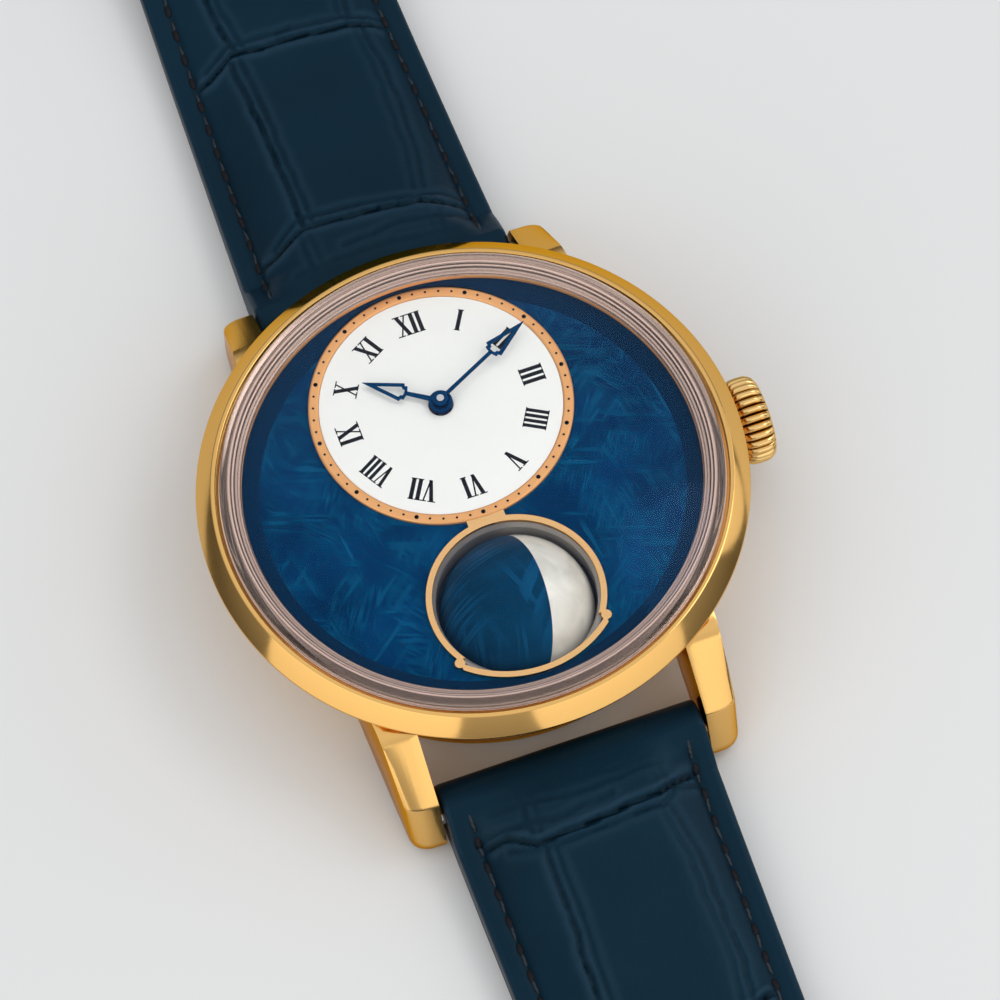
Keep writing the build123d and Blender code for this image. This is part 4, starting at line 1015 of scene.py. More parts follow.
    def to_world(self, x, s, z):
        """Places in metres, on the 12 o'clock side or turned to the 6 o'clock side."""
        if self.pointed:
            return np.stack([-x, -BAR_Y - s, z], -1) * MM
        return np.stack([x, BAR_Y + s, z], -1) * MM


def strap_mesh(shape, lift):
    """The skin of a strap half, with its grooves as an attribute that marks painted shade in them and painted
    highlight on the lips and rounded edges.
    """
    across, side, under = 110, 5, 8
    start = np.linspace(0.0, math.pi / 2, 12)
    s_row = sorted(set(np.round(END_R * (np.cos(start[::-1]) * -1.0), 6)))
    s_row += list(np.arange(0.3, shape.length - 1.5, 0.25))
    last = shape.end
    s_row += list(last - (last - (shape.length - 1.5)) * np.linspace(1.0, 0.0, 14) ** 1.6)
    s_row = np.array(sorted(set(np.round(s_row, 5))))
    quarter = [math.pi / 2 * step / side for step in range(1, side + 1)]
    corner_marks = [EDGE_HIGHLIGHT_MARK] * 2 * side
    rings, marks = [], []
    for s in s_row:
        half = float(shape.half_width(np.array([s]))[0])
        low, top = (float(v[0]) for v in shape.heights(np.array([s])))
        lined = np.clip((s - 6.0) / 1.5, 0.0, 1.0), np.clip((shape.length - 5.0 - s) / 1.0, 0.0, 1.0)
        low += lift * float(lined[0]) * float(lined[1])
        corner = min(0.5, (top - low) * 0.35, half * 0.4)
        inset = half - corner
        x_top = np.linspace(-inset, inset, across)
        z_top, mark = shape.surface(x_top, np.full(across, s))
        z_top = np.maximum(z_top, low + 0.02)
        ring = list(zip(x_top, z_top))
        ring += [(inset + corner * math.sin(t), z_top[-1] - corner * (1 - math.cos(t))) for t in quarter]
        ring += [(inset + corner * math.cos(t), low + corner * (1 - math.sin(t))) for t in quarter]
        ring += [(x, low) for x in np.linspace(inset, -inset, under)[1:]]
        ring += [(-inset - corner * math.sin(t), low + corner * (1 - math.cos(t))) for t in quarter]
        ring += [(-inset - corner * math.cos(t), z_top[0] - corner * (1 - math.sin(t))) for t in quarter]
        xs, zs = np.array(ring[:-1]).T
        rings.append(shape.to_world(xs, np.full(len(xs), s), zs))
        marks.append((list(mark) + corner_marks + [PLAIN_MARK] * (under - 1) + corner_marks)[:-1])
    count = len(rings[0])
    points = np.concatenate(rings)
    faces = []
    for i in range(len(rings) - 1):
        for j in range(count):
            k = (j + 1) % count
            faces.append((i * count + j, i * count + k, (i + 1) * count + k, (i + 1) * count + j))
    faces.append(tuple(range(count))[::-1])
    faces.append(tuple((len(rings) - 1) * count + j for j in range(count)))
    mesh = bpy.data.meshes.new("strap")
    mesh.from_pydata(points.tolist(), [], faces)
    # the groove attribute carries the painted shade and painted highlight marks
    mark = mesh.attributes.new("groove", "FLOAT", "POINT")
    mark.data.foreach_set("value", np.concatenate(marks).astype(np.float32))
    bm = bmesh.new()
    bm.from_mesh(mesh)
    bpy.data.meshes.remove(mesh)
    bmesh.ops.remove_doubles(bm, verts=bm.verts, dist=1e-7)
    bmesh.ops.recalc_face_normals(bm, faces=bm.faces)
    return mesh_from(bm, "strap")


def combined(piece, other, operation):
    """Cut a piece with a closed mesh, or join the two, and remove the other."""
    change = piece.modifiers.new("Solid", "BOOLEAN")
    change.operation = operation
    change.solver = "EXACT"
    change.object = other
    flatten(piece)
    bpy.data.objects.remove(other)


# Case and dial shapes, in millimetres

CASE_BAND = softened([
    (18.0, 1.2, 0.1), (18.62, 2.9, 1.2), (19.6, 6.0, 4.0), (20.4, 9.0, 3.0), (20.78, 10.42, 0.1),
    (18.62, 10.42, 0.0), (18.6, 3.9, 0.0), (18.42, 2.85, 0.0), (17.75, 2.6, 0.0), (17.75, 1.2, 0.0),
])
LUG_SIDE = (
    (15.15, 10.3, 0.0), (18.2, 9.8, 3.0), (23.2, 5.95, 0.8), (24.62, 1.9, 1.2), (24.3, 0.5, 1.0),
    (20.0, 1.1, 2.5), (15.15, 3.5, 0.0),
)
LUG_ROOT = 15.15
LUG_INNER = 11.1
LUG_WIDTH = 3.35
LUG_TAPER = 0.07
LUG_WIDEST = 12.5
ROOT_SLANT = 2.65
TIP_PULL = 1.3
TIP_START = 21.5
TIP_REACH = 3.1
DOME_STEPS = 24
MOON_CENTRE = (0.0, -10.3, 7.3)
MOON_R = 6.15
DISC_TOP = 10.32
CROWN_PLACE = (21.95, 0.0, 6.0)
BACK_SCREW_CIRCLE = 16.72
BRIDGE_SCREW_CIRCLE = 16.8
BRIDGE_SCREW_TURNS = (84.0, -9.0, 130.0, 166.0)
COCK_SCREW = (-13.0, -9.8)


def lug_shape():
    """One lug: its side outline carried across, its root slanted, its outer tip rounded in plan."""
    columns = []
    for share in (0.0, 0.25, 0.5, 0.65, 0.78, 0.88, 0.95, 1.0):
        bent = max(0.0, (share - 0.4) / 0.6)
        pulled = TIP_PULL * (1.0 - math.sqrt(1.0 - bent ** 2))
        column = []
        for y, z in softened(LUG_SIDE, 7):
            if y <= LUG_ROOT + 0.001:
                y -= ROOT_SLANT * share
            y -= pulled * min(max((y - TIP_START) / TIP_REACH, 0.0), 1.0)
            x = LUG_INNER + share * (LUG_WIDTH - LUG_TAPER * (y - LUG_WIDEST))
            column.append((x * MM, y * MM, z * MM))
        columns.append(column)
    return skin(columns)


def on_circle(radius, turn, height):
    """A point at a turn round the watch's axis, from millimetres to metres."""
    return radius * MM * math.cos(turn), radius * MM * math.sin(turn), height * MM


def set_screws(name, points, body, finish_name, **sizes):
    """Slotted screws at points, set on a body."""
    screws = grown(point_piece(name, points), screw_tree(finish(finish_name)), sizes)
    settle(screws, body, "steel")


# The movement: finish, slot, share of the edge rounding and nodes

MOVEMENT = (
    ("spotted_plate", "plate_silver", 1.0, "main_plate"),
    ("striped_plate", "plate_silver", 2.2, "barrel_bridge train_bridge pallet_bridge balance_cock"),
    ("satin_brass", "wheel_gold", 1.0, "barrel_drum centre_wheel third_wheel fourth_wheel minute_wheel"),
    ("polished_steel", "steel", 1.0, "escape_wheel pallet_fork"),
    ("polished_brass", "balance_gold", 1.0, "balance_wheel"),
    ("polished_steel", "steel", 1.0, "balance_staff"),
    ("blued_screw", "hand_blue", 0.15, "balance_spring"),
    ("polished_steel", "steel", 1.0, "ratchet_wheel crown_wheel crown_wheel_post barrel_arbor click"),
    ("polished_steel", "steel", 1.0, "winding_pinion"),
)


# The stage, in metres

CAMERA_TURN = (-3.546405676527288, 0.6220656490312376, -0.08356222156628328)
CAMERA_PLACE = (-0.0553639, -0.2058312, 0.4354207)
CAMERA_LENS = 216.0
CAMERA_SENSOR = 36.0
FLOOR_Z = -0.0001
LIT = (0.0, 0.0, 0.008)
LAMPS = (
    ("key", (-0.66, -0.4, 0.36), 1.0, 2.2, (1.0, 0.98, 0.95)),
    ("rim", (0.47, 0.02, 0.72), 0.36, 0.8, (1.0, 1.0, 1.0)),
    ("front", (0.38, -0.78, 0.42), 0.9, 1.6, (1.0, 1.0, 1.0)),
    ("right", (0.78, 0.05, 0.3), 0.6, 0.8, (0.97, 0.98, 1.0)),
)


# Operators


class WatchOperator:
    """What every step of the build shares."""

    bl_options = {"REGISTER", "UNDO"}


class WATCH_OT_stage(WatchOperator, bpy.types.Operator):
    """Set the pale floor, the soft lamps and the camera"""

    bl_idname = "watch.stage"
    bl_label = "Stage"

    def execute(self, context):
        """Build the stage."""
        scene = context.scene
        scene.view_settings.view_transform = "Standard"
        camera = linked("camera", bpy.data.cameras.new("camera"))
        camera.data.lens = CAMERA_LENS
        camera.data.sensor_width = CAMERA_SENSOR
        camera.data.clip_start = 0.01
        turn = Vector(CAMERA_TURN)
        seen = Matrix.Rotation(turn.length, 3, turn).transposed() @ Matrix(((1, 0, 0), (0, -1, 0), (0, 0, -1)))
        camera.matrix_world = Matrix.Translation(CAMERA_PLACE) @ seen.to_4x4()
        scene.camera = camera
        self.lay_floor(scene)
        self.hang_lamps()
        return {"FINISHED"}

    def lay_floor(self, scene):
        """The pale floor and the world."""
        bm = bmesh.new()
        bmesh.ops.create_grid(bm, x_segments=2, y_segments=2, size=3.0)
        floor = linked("floor", mesh_from(bm, "floor"))
        floor.data.transform(Matrix.Translation((0.0, 0.0, FLOOR_Z)))
        shade = scene.watch_colours.floor
        coat = Coat("floor", {"Base Color": rgb(shade), "Roughness": 0.6, "Specular IOR Level": 0.2})
        cloud = coat.add("ShaderNodeTexNoise", {"Vector": coat.place, "Scale": 4.0, "Detail": 2.0})
        coat.feed("Base Color", coat.mix(cloud, rgb(shade, 0.985), rgb(shade, 1.015)))
        floor.data.materials.append(coat.material)
        world = bpy.data.worlds.new("studio")
        world.use_nodes = True
        sky = world.node_tree.nodes["Background"]
        sky.inputs["Color"].default_value = (0.95, 0.97, 1.0, 1.0)
        toward = wire(world.node_tree, "ShaderNodeTexCoord")
        split = wire(world.node_tree, "ShaderNodeSeparateXYZ", {0: toward.outputs["Generated"]})
        lift = spread(world.node_tree, split.outputs["Z"], 0.08, 0.95, 0.13, 0.98)
        world.node_tree.links.new(lift.outputs[0], sky.inputs["Strength"])
        scene.world = world

    def hang_lamps(self):
        """Soft lamps clear of the dome's reflection, and one that grazes its edge."""
        for name, place, size, power, shade in LAMPS:
            light = bpy.data.lights.new(name, "AREA")
            light.shape = "DISK"
            light.size = size
            light.energy = power
            light.color = shade
            lamp = linked(name, light)
            lamp.location = place
            lamp.rotation_euler = (Vector(LIT) - Vector(place)).to_track_quat("-Z", "Y").to_euler()
            lamp.visible_camera = False


class WATCH_OT_case(WatchOperator, bpy.types.Operator):
    """Finish the case middle with its lugs, and the bezel"""

    bl_idname = "watch.case"
    bl_label = "Case and bezel"

    def execute(self, context):
        """Build the case."""
        sizes = context.scene.watch_case
        band = stand_in("case_middle", lathe(CASE_BAND, FINE), "case_gold", "case_gold")
        for x, y in ((1, 1), (1, -1), (-1, 1), (-1, -1)):
            shape = lug_shape()
            shape.transform(Matrix.Diagonal((x, y, 1.0, 1.0)))
            bmesh.ops.recalc_face_normals(shape, faces=shape.faces)
            lug = linked("lug", mesh_from(shape, "lug"))
            round_edges(lug, sizes.lug_round, 4, 40.0)
            combined(band, lug, "UNION")
        smooth(band.data, 32.0)
        r = sizes.bezel_round / MM
        section = softened([
            (18.62, 10.42, 0.05), (22.0, 10.42, r), (22.0, 10.62, r), (20.72, 11.9, r * 1.6), (20.42, 11.92, r),
            (20.12, 11.72, 0.06), (20.12, 11.5, 0.0), (18.62, 11.5, 0.05),
        ])
        stand_in("bezel", lathe(section, FINE), "bezel_gold", "case_gold", 50.0)
        return {"FINISHED"}


class WATCH_OT_crystal(WatchOperator, bpy.types.Operator):
    """Grind the domed front crystal"""

    bl_idname = "watch.crystal"
    bl_label = "Front crystal"

    def execute(self, context):
        """Build the crystal."""
        outer, inner = [], []
        for step in range(DOME_STEPS + 1):
            share = 1 - step / DOME_STEPS
            outer.append((19.55 * share, 12.9 + 2.98 * (1 - share ** 2)))
            inner.append((19.3 * share, 12.35 + 2.75 * (1 - share ** 2)))
        section = [(19.3, 11.52), (19.95, 11.52), (20.0, 11.57), (20.0, 12.3), (19.93, 12.55), (19.78, 12.76)]
        section += outer + inner[::-1]
        stand_in("front_crystal", lathe(section, FINE), "sapphire", "crystal", 40.0).visible_shadow = False
        steps_in = softened([
            (18.62, 11.52, 0.0), (19.24, 11.52, 0.0), (19.24, 12.2, 0.04), (19.06, 12.2, 0.05),
            (19.0, 12.02, 0.04), (18.8, 12.0, 0.04), (18.74, 11.84, 0.04), (18.52, 11.82, 0.04),
            (18.46, 11.66, 0.04), (18.28, 11.64, 0.04), (18.22, 11.48, 0.0), (18.6, 11.4, 0.0),
        ], 3)
        piece_of("crystal_ring", lathe(steps_in, FINE), "rose_metal", "case", "ring_gold", (), 24.0)
        seat = softened([(19.1, 11.3, 0.0), (20.1, 11.3, 0.0), (20.1, 11.56, 0.0), (19.1, 11.56, 0.0)], 2)
        piece_of("crystal_seat", lathe(seat, 192), "rose_metal", "case", "ring_gold")
        wall = softened([(18.2, 10.98, 0.04), (18.58, 10.98, 0.0), (18.58, 11.38, 0.0), (18.2, 11.44, 0.04)], 3)
        piece_of("inner_ring", lathe(wall, FINE), "ring_satin", "case", "ring_gold")
        return {"FINISHED"}


class WATCH_OT_back(WatchOperator, bpy.types.Operator):
    """Close the back with its ring, its crystal and its screws"""

    bl_idname = "watch.back"
    bl_label = "Back"

    def execute(self, context):
        """Build the back."""
        ring = softened([
            (16.03, 0.0, 0.1), (17.2, 0.0, 0.15), (17.9, 0.5, 0.3), (17.98, 1.19, 0.05), (16.03, 1.19, 0.0),
        ])
        stand_in("back_ring", lathe(ring, FINE), "bezel_gold", "case_gold")
        section = softened([(0.0, 0.0, 0.0), (15.98, 0.0, 0.12), (15.98, 1.1, 0.05), (0.0, 1.1, 0.0)])
        stand_in("back_crystal", lathe(section, FINE // 2), "sapphire", "crystal").visible_shadow = False
        points = [on_circle(BACK_SCREW_CIRCLE, math.tau * (number + 0.5) / 6, 0.12) for number in range(6)]
        set_screws(
            "back_screws", points, "case", "polished_steel",
            Width=0.95 * MM, Height=0.3 * MM, Slot=0.2 * MM, Seed=5,
        )
        return {"FINISHED"}


class WATCH_OT_crown(WatchOperator, bpy.types.Operator):
    """Turn the ridged crown, its tube and its stem"""

    bl_idname = "watch.crown"
    bl_label = "Crown and stem"

    def execute(self, context):
        """Build the crown."""
        sizes = context.scene.watch_case
        profile = [(1.6, 0.06, 0.0), (2.5, 0.0, 0.0)]
        for step in range(19):
            along = math.cos(math.pi * (1 - step / 18))
            swell = 1 - abs(along) ** 3.2
            profile.append((2.7 + 0.86 * swell ** 0.5, 1.38 + 1.32 * along, 0.46 * swell ** 0.6))
        profile += [(2.55, 2.74, 0.0), (2.46, 2.64, 0.0), (2.3, 2.64, 0.0)]
        profile += [(2.2, 2.76, 0.0), (1.3, 2.86, 0.0), (0.0, 2.9, 0.0)]
        profile += [(0.0, 1.3, 0.0), (1.6, 1.3, 0.0)]
        dents = [depth for _, _, depth in profile]
        body = lathe([(r, z) for r, z, _ in profile], 12 * sizes.ridge_count, dents=dents, ridges=sizes.ridge_count)
        body.transform(Matrix.Translation(Vector(CROWN_PLACE) * MM) @ Matrix.Rotation(math.pi / 2, 4, "Y"))
        stand_in("crown", body, "crown_gold", "case_gold", 50.0)
        dressed("crown_tube", "polished_steel", "steel", sizes.part_round)
        dressed("winding_stem", "polished_steel", "steel", sizes.part_round)
        return {"FINISHED"}


class WATCH_OT_dial(WatchOperator, bpy.types.Operator):
    """Lay the stone dial, its sloped rim and the moon well"""

    bl_idname = "watch.dial"
    bl_label = "Dial"

    def execute(self, context):
        """Build the dial."""
        sizes = context.scene.watch_dial
        dressed("dial_plate", "stone_blue", "stone", sizes.edge_round)
        dressed("dial_flange", "flange_paint", "flange_blue", sizes.edge_round)
        wall = softened([
            (6.34, 7.9, 0.05), (6.85, 7.9, 0.0), (6.85, 10.0, 0.0), (6.62, 10.0, 0.03), (6.34, 9.7, 0.1),
        ])
        stand_in("moon_well", lathe(wall, 160, MOON_CENTRE[:2]), "well_steel", "plate_silver")
        return {"FINISHED"}


class WATCH_OT_hour_disc(WatchOperator, bpy.types.Operator):
    """Make the white disc, its gold ring and its minute dots"""

    bl_idname = "watch.hour_disc"
    bl_label = "Hour disc"

    def execute(self, context):
        """Build the hour disc."""
        sizes = context.scene.watch_dial
        at = middle("subdial_disc")[:2]
        section = softened([(1.0, 10.11, 0.0), (9.7, 10.11, 0.0), (9.7, DISC_TOP, 0.05), (1.0, DISC_TOP, 0.05)])
        stand_in("subdial_disc", lathe(section, 192, at), "white_enamel", "enamel", name="hour_disc")
        section = softened([
            (9.72, 10.11, 0.0), (10.55, 10.11, 0.0), (10.55, 10.34, 0.02), (10.43, 10.44, 0.05),
            (9.85, 10.44, 0.05), (9.72, 10.35, 0.02),
        ])
        stand_in("subdial_ring", lathe(section, 192, at), "ring_satin", "ring_gold", name="minute_ring")
        centre = (at[0] * MM, at[1] * MM, 10.445 * MM)
        for name, count, width in (("minute_dots", 60, sizes.small_dot), ("five_minute_dots", 12, sizes.large_dot)):
            dots = point_piece(name, [(0.0, 0.0, 0.0)])
            grown(dots, ring_tree(name, finish("black_ink"), dot_shape), {
                "Count": count, "Radius": sizes.dot_radius, "Width": width / 2,
                "Height": 0.02 * MM, "Centre": centre,
            })
            settle(dots, "case", "enamel")
        return {"FINISHED"}


def hand_mesh(tip, shoulder, half, stem, bore, hub):
    """A pierced hand along X: hub, stem, stepped head and open point, from its sizes in millimetres."""
    join = math.asin(stem / hub)
    rim = [(hub * math.cos(a), hub * math.sin(a)) for a in np.linspace(join, math.tau - join, 48)]
    side = [
        (shoulder - 0.43, stem), (shoulder - 0.4, 0.28), (shoulder - 0.36, 0.44),
        (shoulder - 0.33, 0.58), (shoulder - 0.26, 0.61),
        (shoulder - 0.13, 0.56), (shoulder - 0.08, 0.64), (shoulder, half),
    ]
    outline = rim + [(x, -y) for x, y in side] + [(tip, 0.0)] + side[::-1]
    cut = [
        (shoulder - 0.21, 0.1), (shoulder - 0.18, 0.25), (shoulder - 0.04, 0.3), (shoulder + 0.02, 0.26),
        (shoulder + 0.08, 0.42), (shoulder + 0.16, 0.47),
    ]
    opening = [(x, -y) for x, y in cut] + [(shoulder + 0.65 * (tip - shoulder), 0.0)] + cut[::-1]
    hole = [(bore * math.cos(a), bore * math.sin(a)) for a in np.linspace(0.0, math.tau, 49)[:-1]]
    curve = bpy.data.curves.new("hand", "CURVE")
    curve.dimensions = "2D"
    curve.fill_mode = "BOTH"
    for loop in (outline, opening, hole):
        spline = curve.splines.new("POLY")
        spline.points.add(len(loop) - 1)
        for point, (x, y) in zip(spline.points, loop):
            point.co = (x * MM, y * MM, 0.0, 1.0)
        spline.use_cyclic_u = True
    curve.extrude = 0.04 * MM
    curve.bevel_depth = 0.02 * MM
    curve.offset = -0.02 * MM
    flat = linked("hand", curve)
    graph = bpy.context.evaluated_depsgraph_get()
    mesh = bpy.data.meshes.new_from_object(flat.evaluated_get(graph))
    bpy.data.objects.remove(flat)
    bm = bmesh.new()
    bm.from_mesh(mesh)
    closed(bm)
    return mesh_from(bm, "hand")


def numeral_strokes(text, thick, thin, height):
    """Strokes of a Roman numeral, each a flat outline, with its feet at zero."""
    widths = {"I": 0.53, "V": 1.08, "X": 1.16}
    x = -sum(widths[letter] for letter in text) / 2
    serif = thin * 0.75
    strokes = []

    def foot(at, reach, y):
        strokes.append([(at - reach, y), (at + reach, y), (at + reach, y + serif), (at - reach, y + serif)])

    def slant(top, width, left, right):
        strokes.append([(top - width / 2, height), (left, 0), (right, 0), (top + width / 2, height)])

    for letter in text:
        half = widths[letter] / 2
        at = x + half
        if letter == "I":
            left, right = at - thick / 2, at + thick / 2
            strokes.append([(left, 0), (right, 0), (right, height), (left, height)])
            foot(at, half * 0.92, 0)
            foot(at, half * 0.92, height - serif)
        elif letter == "V":
            left, right = at - half * 0.62, at + half * 0.62
            slant(left, thick, at - thick * 0.35, at + thick * 0.5)
            slant(right, thin, at - thin * 0.2, at + thin * 0.8)
            foot(left, thick * 0.95, height - serif)
            foot(right, thick * 0.7, height - serif)
        else:
            left, right = at - half * 0.6, at + half * 0.6
            slant(left, thick, right - thick / 2, right + thick / 2)
            slant(right, thin, left - thin / 2, left + thin / 2)
            for y in (0, height - serif):
                foot(left, thick * 0.9, y)
                foot(right, thick * 0.9, y)
        x += widths[letter]
    return strokes


class WATCH_OT_numerals(WatchOperator, bpy.types.Operator):
    """Print the Roman numerals on the white disc"""

    bl_idname = "watch.numerals"
    bl_label = "Numerals"

    def execute(self, context):
        """Build the numerals."""
        sizes = context.scene.watch_dial
        at = middle("subdial_disc")
        height = (sizes.numeral_outer - sizes.numeral_inner) / MM
        bm = bmesh.new()
        names = ("XII", "I", "II", "III", "IIII", "V", "VI", "VII", "VIII", "IX", "X", "XI")
        for hour, text in enumerate(names):
            turn = -math.tau * hour / 12
            squeeze = 0.86 if len(text) == 4 else 1.0
            c, s = math.cos(turn), math.sin(turn)
            for stroke in numeral_strokes(text, sizes.thick_stroke / MM, sizes.thin_stroke / MM, height):
                raised = [(x * squeeze, y + sizes.numeral_inner / MM) for x, y in stroke]
                outline = [(at.x + x * c - y * s, at.y + x * s + y * c) for x, y in raised]
                prism(bm, outline, DISC_TOP, DISC_TOP + sizes.ink_height / MM)
        bmesh.ops.recalc_face_normals(bm, faces=bm.faces)
        piece_of("numerals", bm, "black_ink", "case", "enamel")
        return {"FINISHED"}


class WATCH_OT_hands(WatchOperator, bpy.types.Operator):
    """Blue the hands and set them on their pipes"""

    bl_idname = "watch.hands"
    bl_label = "Hands"

    def execute(self, context):
        """Build the hands."""
        sizes = context.scene.watch_dial
        at = middle("subdial_disc")[:2]
        for node, low, angle, sides in (
            ("minute_hand", 11.17, 63.3, (9.55, 6.1, 0.84, 0.15, 0.6, 0.63)),
            ("hour_hand", 10.75, 305.3, (6.5, 3.22, 0.8, 0.17, 0.92, 0.94)),
        ):
            piece = stand_in(node, hand_mesh(*sides), "hand_blue", "hand_blue")
            turn = Matrix.Rotation(math.radians(90.0 - angle), 4, "Z")
            piece.data.transform(Matrix.Translation((at[0] * MM, at[1] * MM, (low + 0.06) * MM)) @ turn)
        for name, body, bore, inner, outer, foot, seat in (
            ("minute_hub", "minute", 0.31, 0.555, 0.64, 10.95, 11.295),
            ("hour_hub", "hour", 0.6, 0.855, 0.95, 10.42, 10.875),
        ):
            cap = softened([
                (bore, seat, 0.0), (inner, seat, 0.0), (inner, foot, 0.0), (outer, foot, 0.02),
                (outer, seat + 0.07, 0.05), (bore, seat + 0.07, 0.03),
            ], 3)
            piece_of(name, lathe(cap, 64, at), "hand_blue", body, "hand_blue")
        dressed("cannon_pinion", "polished_steel", "steel", 0.6 * sizes.edge_round)
        dressed("hour_wheel", "satin_brass", "wheel_gold", 0.6 * sizes.edge_round)
        return {"FINISHED"}


class WATCH_OT_moon(WatchOperator, bpy.types.Operator):
    """Turn the two halves of the moon and its gold frame"""

    bl_idname = "watch.moon"
    bl_label = "Moon"

    def execute(self, context):
        """Build the moon."""
        sizes = context.scene.watch_dial
        angles = np.linspace(-math.pi / 2, math.pi / 2, 49)[1:-1]
        curve = [(MOON_R * math.cos(a), MOON_R * math.sin(a)) for a in angles]
        section = [(0.0, -MOON_R), *curve, (0.0, MOON_R)]
        centre = Vector(MOON_CENTRE)
        stand = Matrix.Rotation(-math.pi / 2, 4, "X")
        for node, finish_name, slot in (
            ("moon_dark_half", "moon_night", "moon_dark"), ("moon_light_half", "moon_day", "moon_light"),
        ):
            points = [v.co for v in frame["nodes"][node].data.vertices]
            facing = sum(points, Vector()) / len(points) / MM - centre
            side = Matrix.Rotation(math.atan2(facing.x, facing.z) - math.pi / 2, 4, "Y")
            half = lathe(section, 64, start=-math.pi / 2, arc=math.pi)
            half.transform(Matrix.Translation(centre * MM) @ side @ stand)
            stand_in(node, half, finish_name, slot, 40.0)
        dressed("moon_frame", "frame_gold", "ring_gold", 2.6 * sizes.edge_round, 4)
        dressed("moon_arbor", "polished_steel", "steel", sizes.edge_round)
        return {"FINISHED"}


class WATCH_OT_movement(WatchOperator, bpy.types.Operator):
    """Finish the plates, the bridges, the train and the escapement"""

    bl_idname = "watch.movement"
    bl_label = "Movement"

    def execute(self, context):
        """Build the movement."""
        edge = context.scene.watch_case.part_round
        for finish_name, slot, share, nodes in MOVEMENT:
            for node in nodes.split():
                dressed(node, finish_name, slot, share * edge)
        return {"FINISHED"}


class WATCH_OT_fittings(WatchOperator, bpy.types.Operator):
    """Set the jewels and screws of the movement"""

    bl_idname = "watch.fittings"
    bl_label = "Jewels and screws"

    def execute(self, context):
        """Build the jewels and screws."""
        sizes = context.scene.watch_case
        bridge_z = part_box("train_bridge")[0].z
        cock_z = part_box("balance_cock")[0].z
        levels = {"third_wheel": bridge_z, "fourth_wheel": bridge_z, "escape_wheel": bridge_z,
                  "centre_wheel": bridge_z, "balance_staff": cock_z}
        points = [(middle(node).x * MM, middle(node).y * MM, z - 0.01 * MM) for node, z in levels.items()]
        jewels = grown(point_piece("jewels", points), jewel_tree(finish("ruby")), {
            "Width": sizes.jewel_width, "Height": 0.14 * MM,
        })
        settle(jewels, "case", "steel")
        turns = [math.radians(turn) for turn in BRIDGE_SCREW_TURNS]
        points = [on_circle(BRIDGE_SCREW_CIRCLE, turn, bridge_z / MM - 0.1) for turn in turns]
        points.append((COCK_SCREW[0] * MM, COCK_SCREW[1] * MM, cock_z - 0.1 * MM))
        set_screws(
            "bridge_screws", points, "case", "blued_screw",
            Width=sizes.screw_width, Height=0.36 * MM, Slot=0.26 * MM,
        )
        for node, body, name, width in (
            ("ratchet_wheel", "ratchet", "ratchet_screw", 2.2), ("crown_wheel", "case", "crown_wheel_screw", 1.9),
        ):
            at = middle(node)
            points = [(at.x * MM, at.y * MM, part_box(node)[0].z - 0.12 * MM)]
            set_screws(
                name, points, body, "blued_screw",
                Width=width * MM, Height=0.36 * MM, Slot=0.3 * MM, Seed=9,
            )
        return {"FINISHED"}


class WATCH_OT_strap(WatchOperator, bpy.types.Operator):
    """Shape the padded leather strap with its scales and lining"""

    bl_idname = "watch.strap"
    bl_label = "Strap"

    def execute(self, context):
        """Build the strap."""
        sizes = context.scene.watch_strap
        lining = sizes.lining / MM
        for node, pointed in (("strap_short", False), ("strap_long", True)):
            shape = StrapHalf(sizes, pointed)
            skinned = strap_mesh(shape, lining)
            piece = stand_in(node, skinned, "scale_leather", "strap_leather", 80.0, node + "_leather")
            under = self.lining_mesh(shape, lining)
            inner = piece_of(node + "_lining", under, "lining_leather", BODY_OF[node], "strap_leather", (), 60.0)
            for part in (piece, inner):
                combined(part, self.hole_punches() if pointed else self.tongue_slot(), "DIFFERENCE")
                smooth(part.data, 50.0)
        for name in ("spring_bar_12", "spring_bar_6"):
            dressed(name, "polished_steel", "steel", 0.05 * MM)
        return {"FINISHED"}

    def lining_mesh(self, shape, lining):
        """The thin lining under a strap half."""
        rings = []
        for s in np.arange(6.0, shape.length - 4.6, 1.0):
            half = float(shape.half_width(np.array([s]))[0]) - 0.05
            low = float(shape.heights(np.array([s]))[0][0])
            high = low + lining - 0.02
            outline = softened([
                (-half, low, 0.15), (half, low, 0.15), (half, high, 0.1), (-half, high, 0.1),
            ], 3)
            flat = np.array(outline)
            rings.append(shape.to_world(flat[:, 0], np.full(len(flat), s), flat[:, 1]).tolist())
        return skin(rings)

    def hole_punches(self):
        """The punches for the six holes."""
        first = -BAR_Y - (LONG_LENGTH - 26.0)
        return grown(point_piece("punches", [(0.0, 0.0, 0.0)]), hole_tree(finish("plain_leather")), {
            "Count": 6, "Pitch": 6.5 * MM, "Width": 1.4 * MM, "Length": 2.4 * MM, "Start": (0.0, first * MM, 0.0),
        })

    def tongue_slot(self):
        """The cutter for the slot round the tongue."""
        bm = bmesh.new()
        outline = softened([(-1.05, 96.25, 0.5), (1.05, 96.25, 0.5), (1.05, 101.0, 0.0), (-1.05, 101.0, 0.0)], 4)
        prism(bm, outline, -1.0, 8.0)
        bmesh.ops.recalc_face_normals(bm, faces=bm.faces)
        return linked("slot", mesh_from(bm, "slot"))


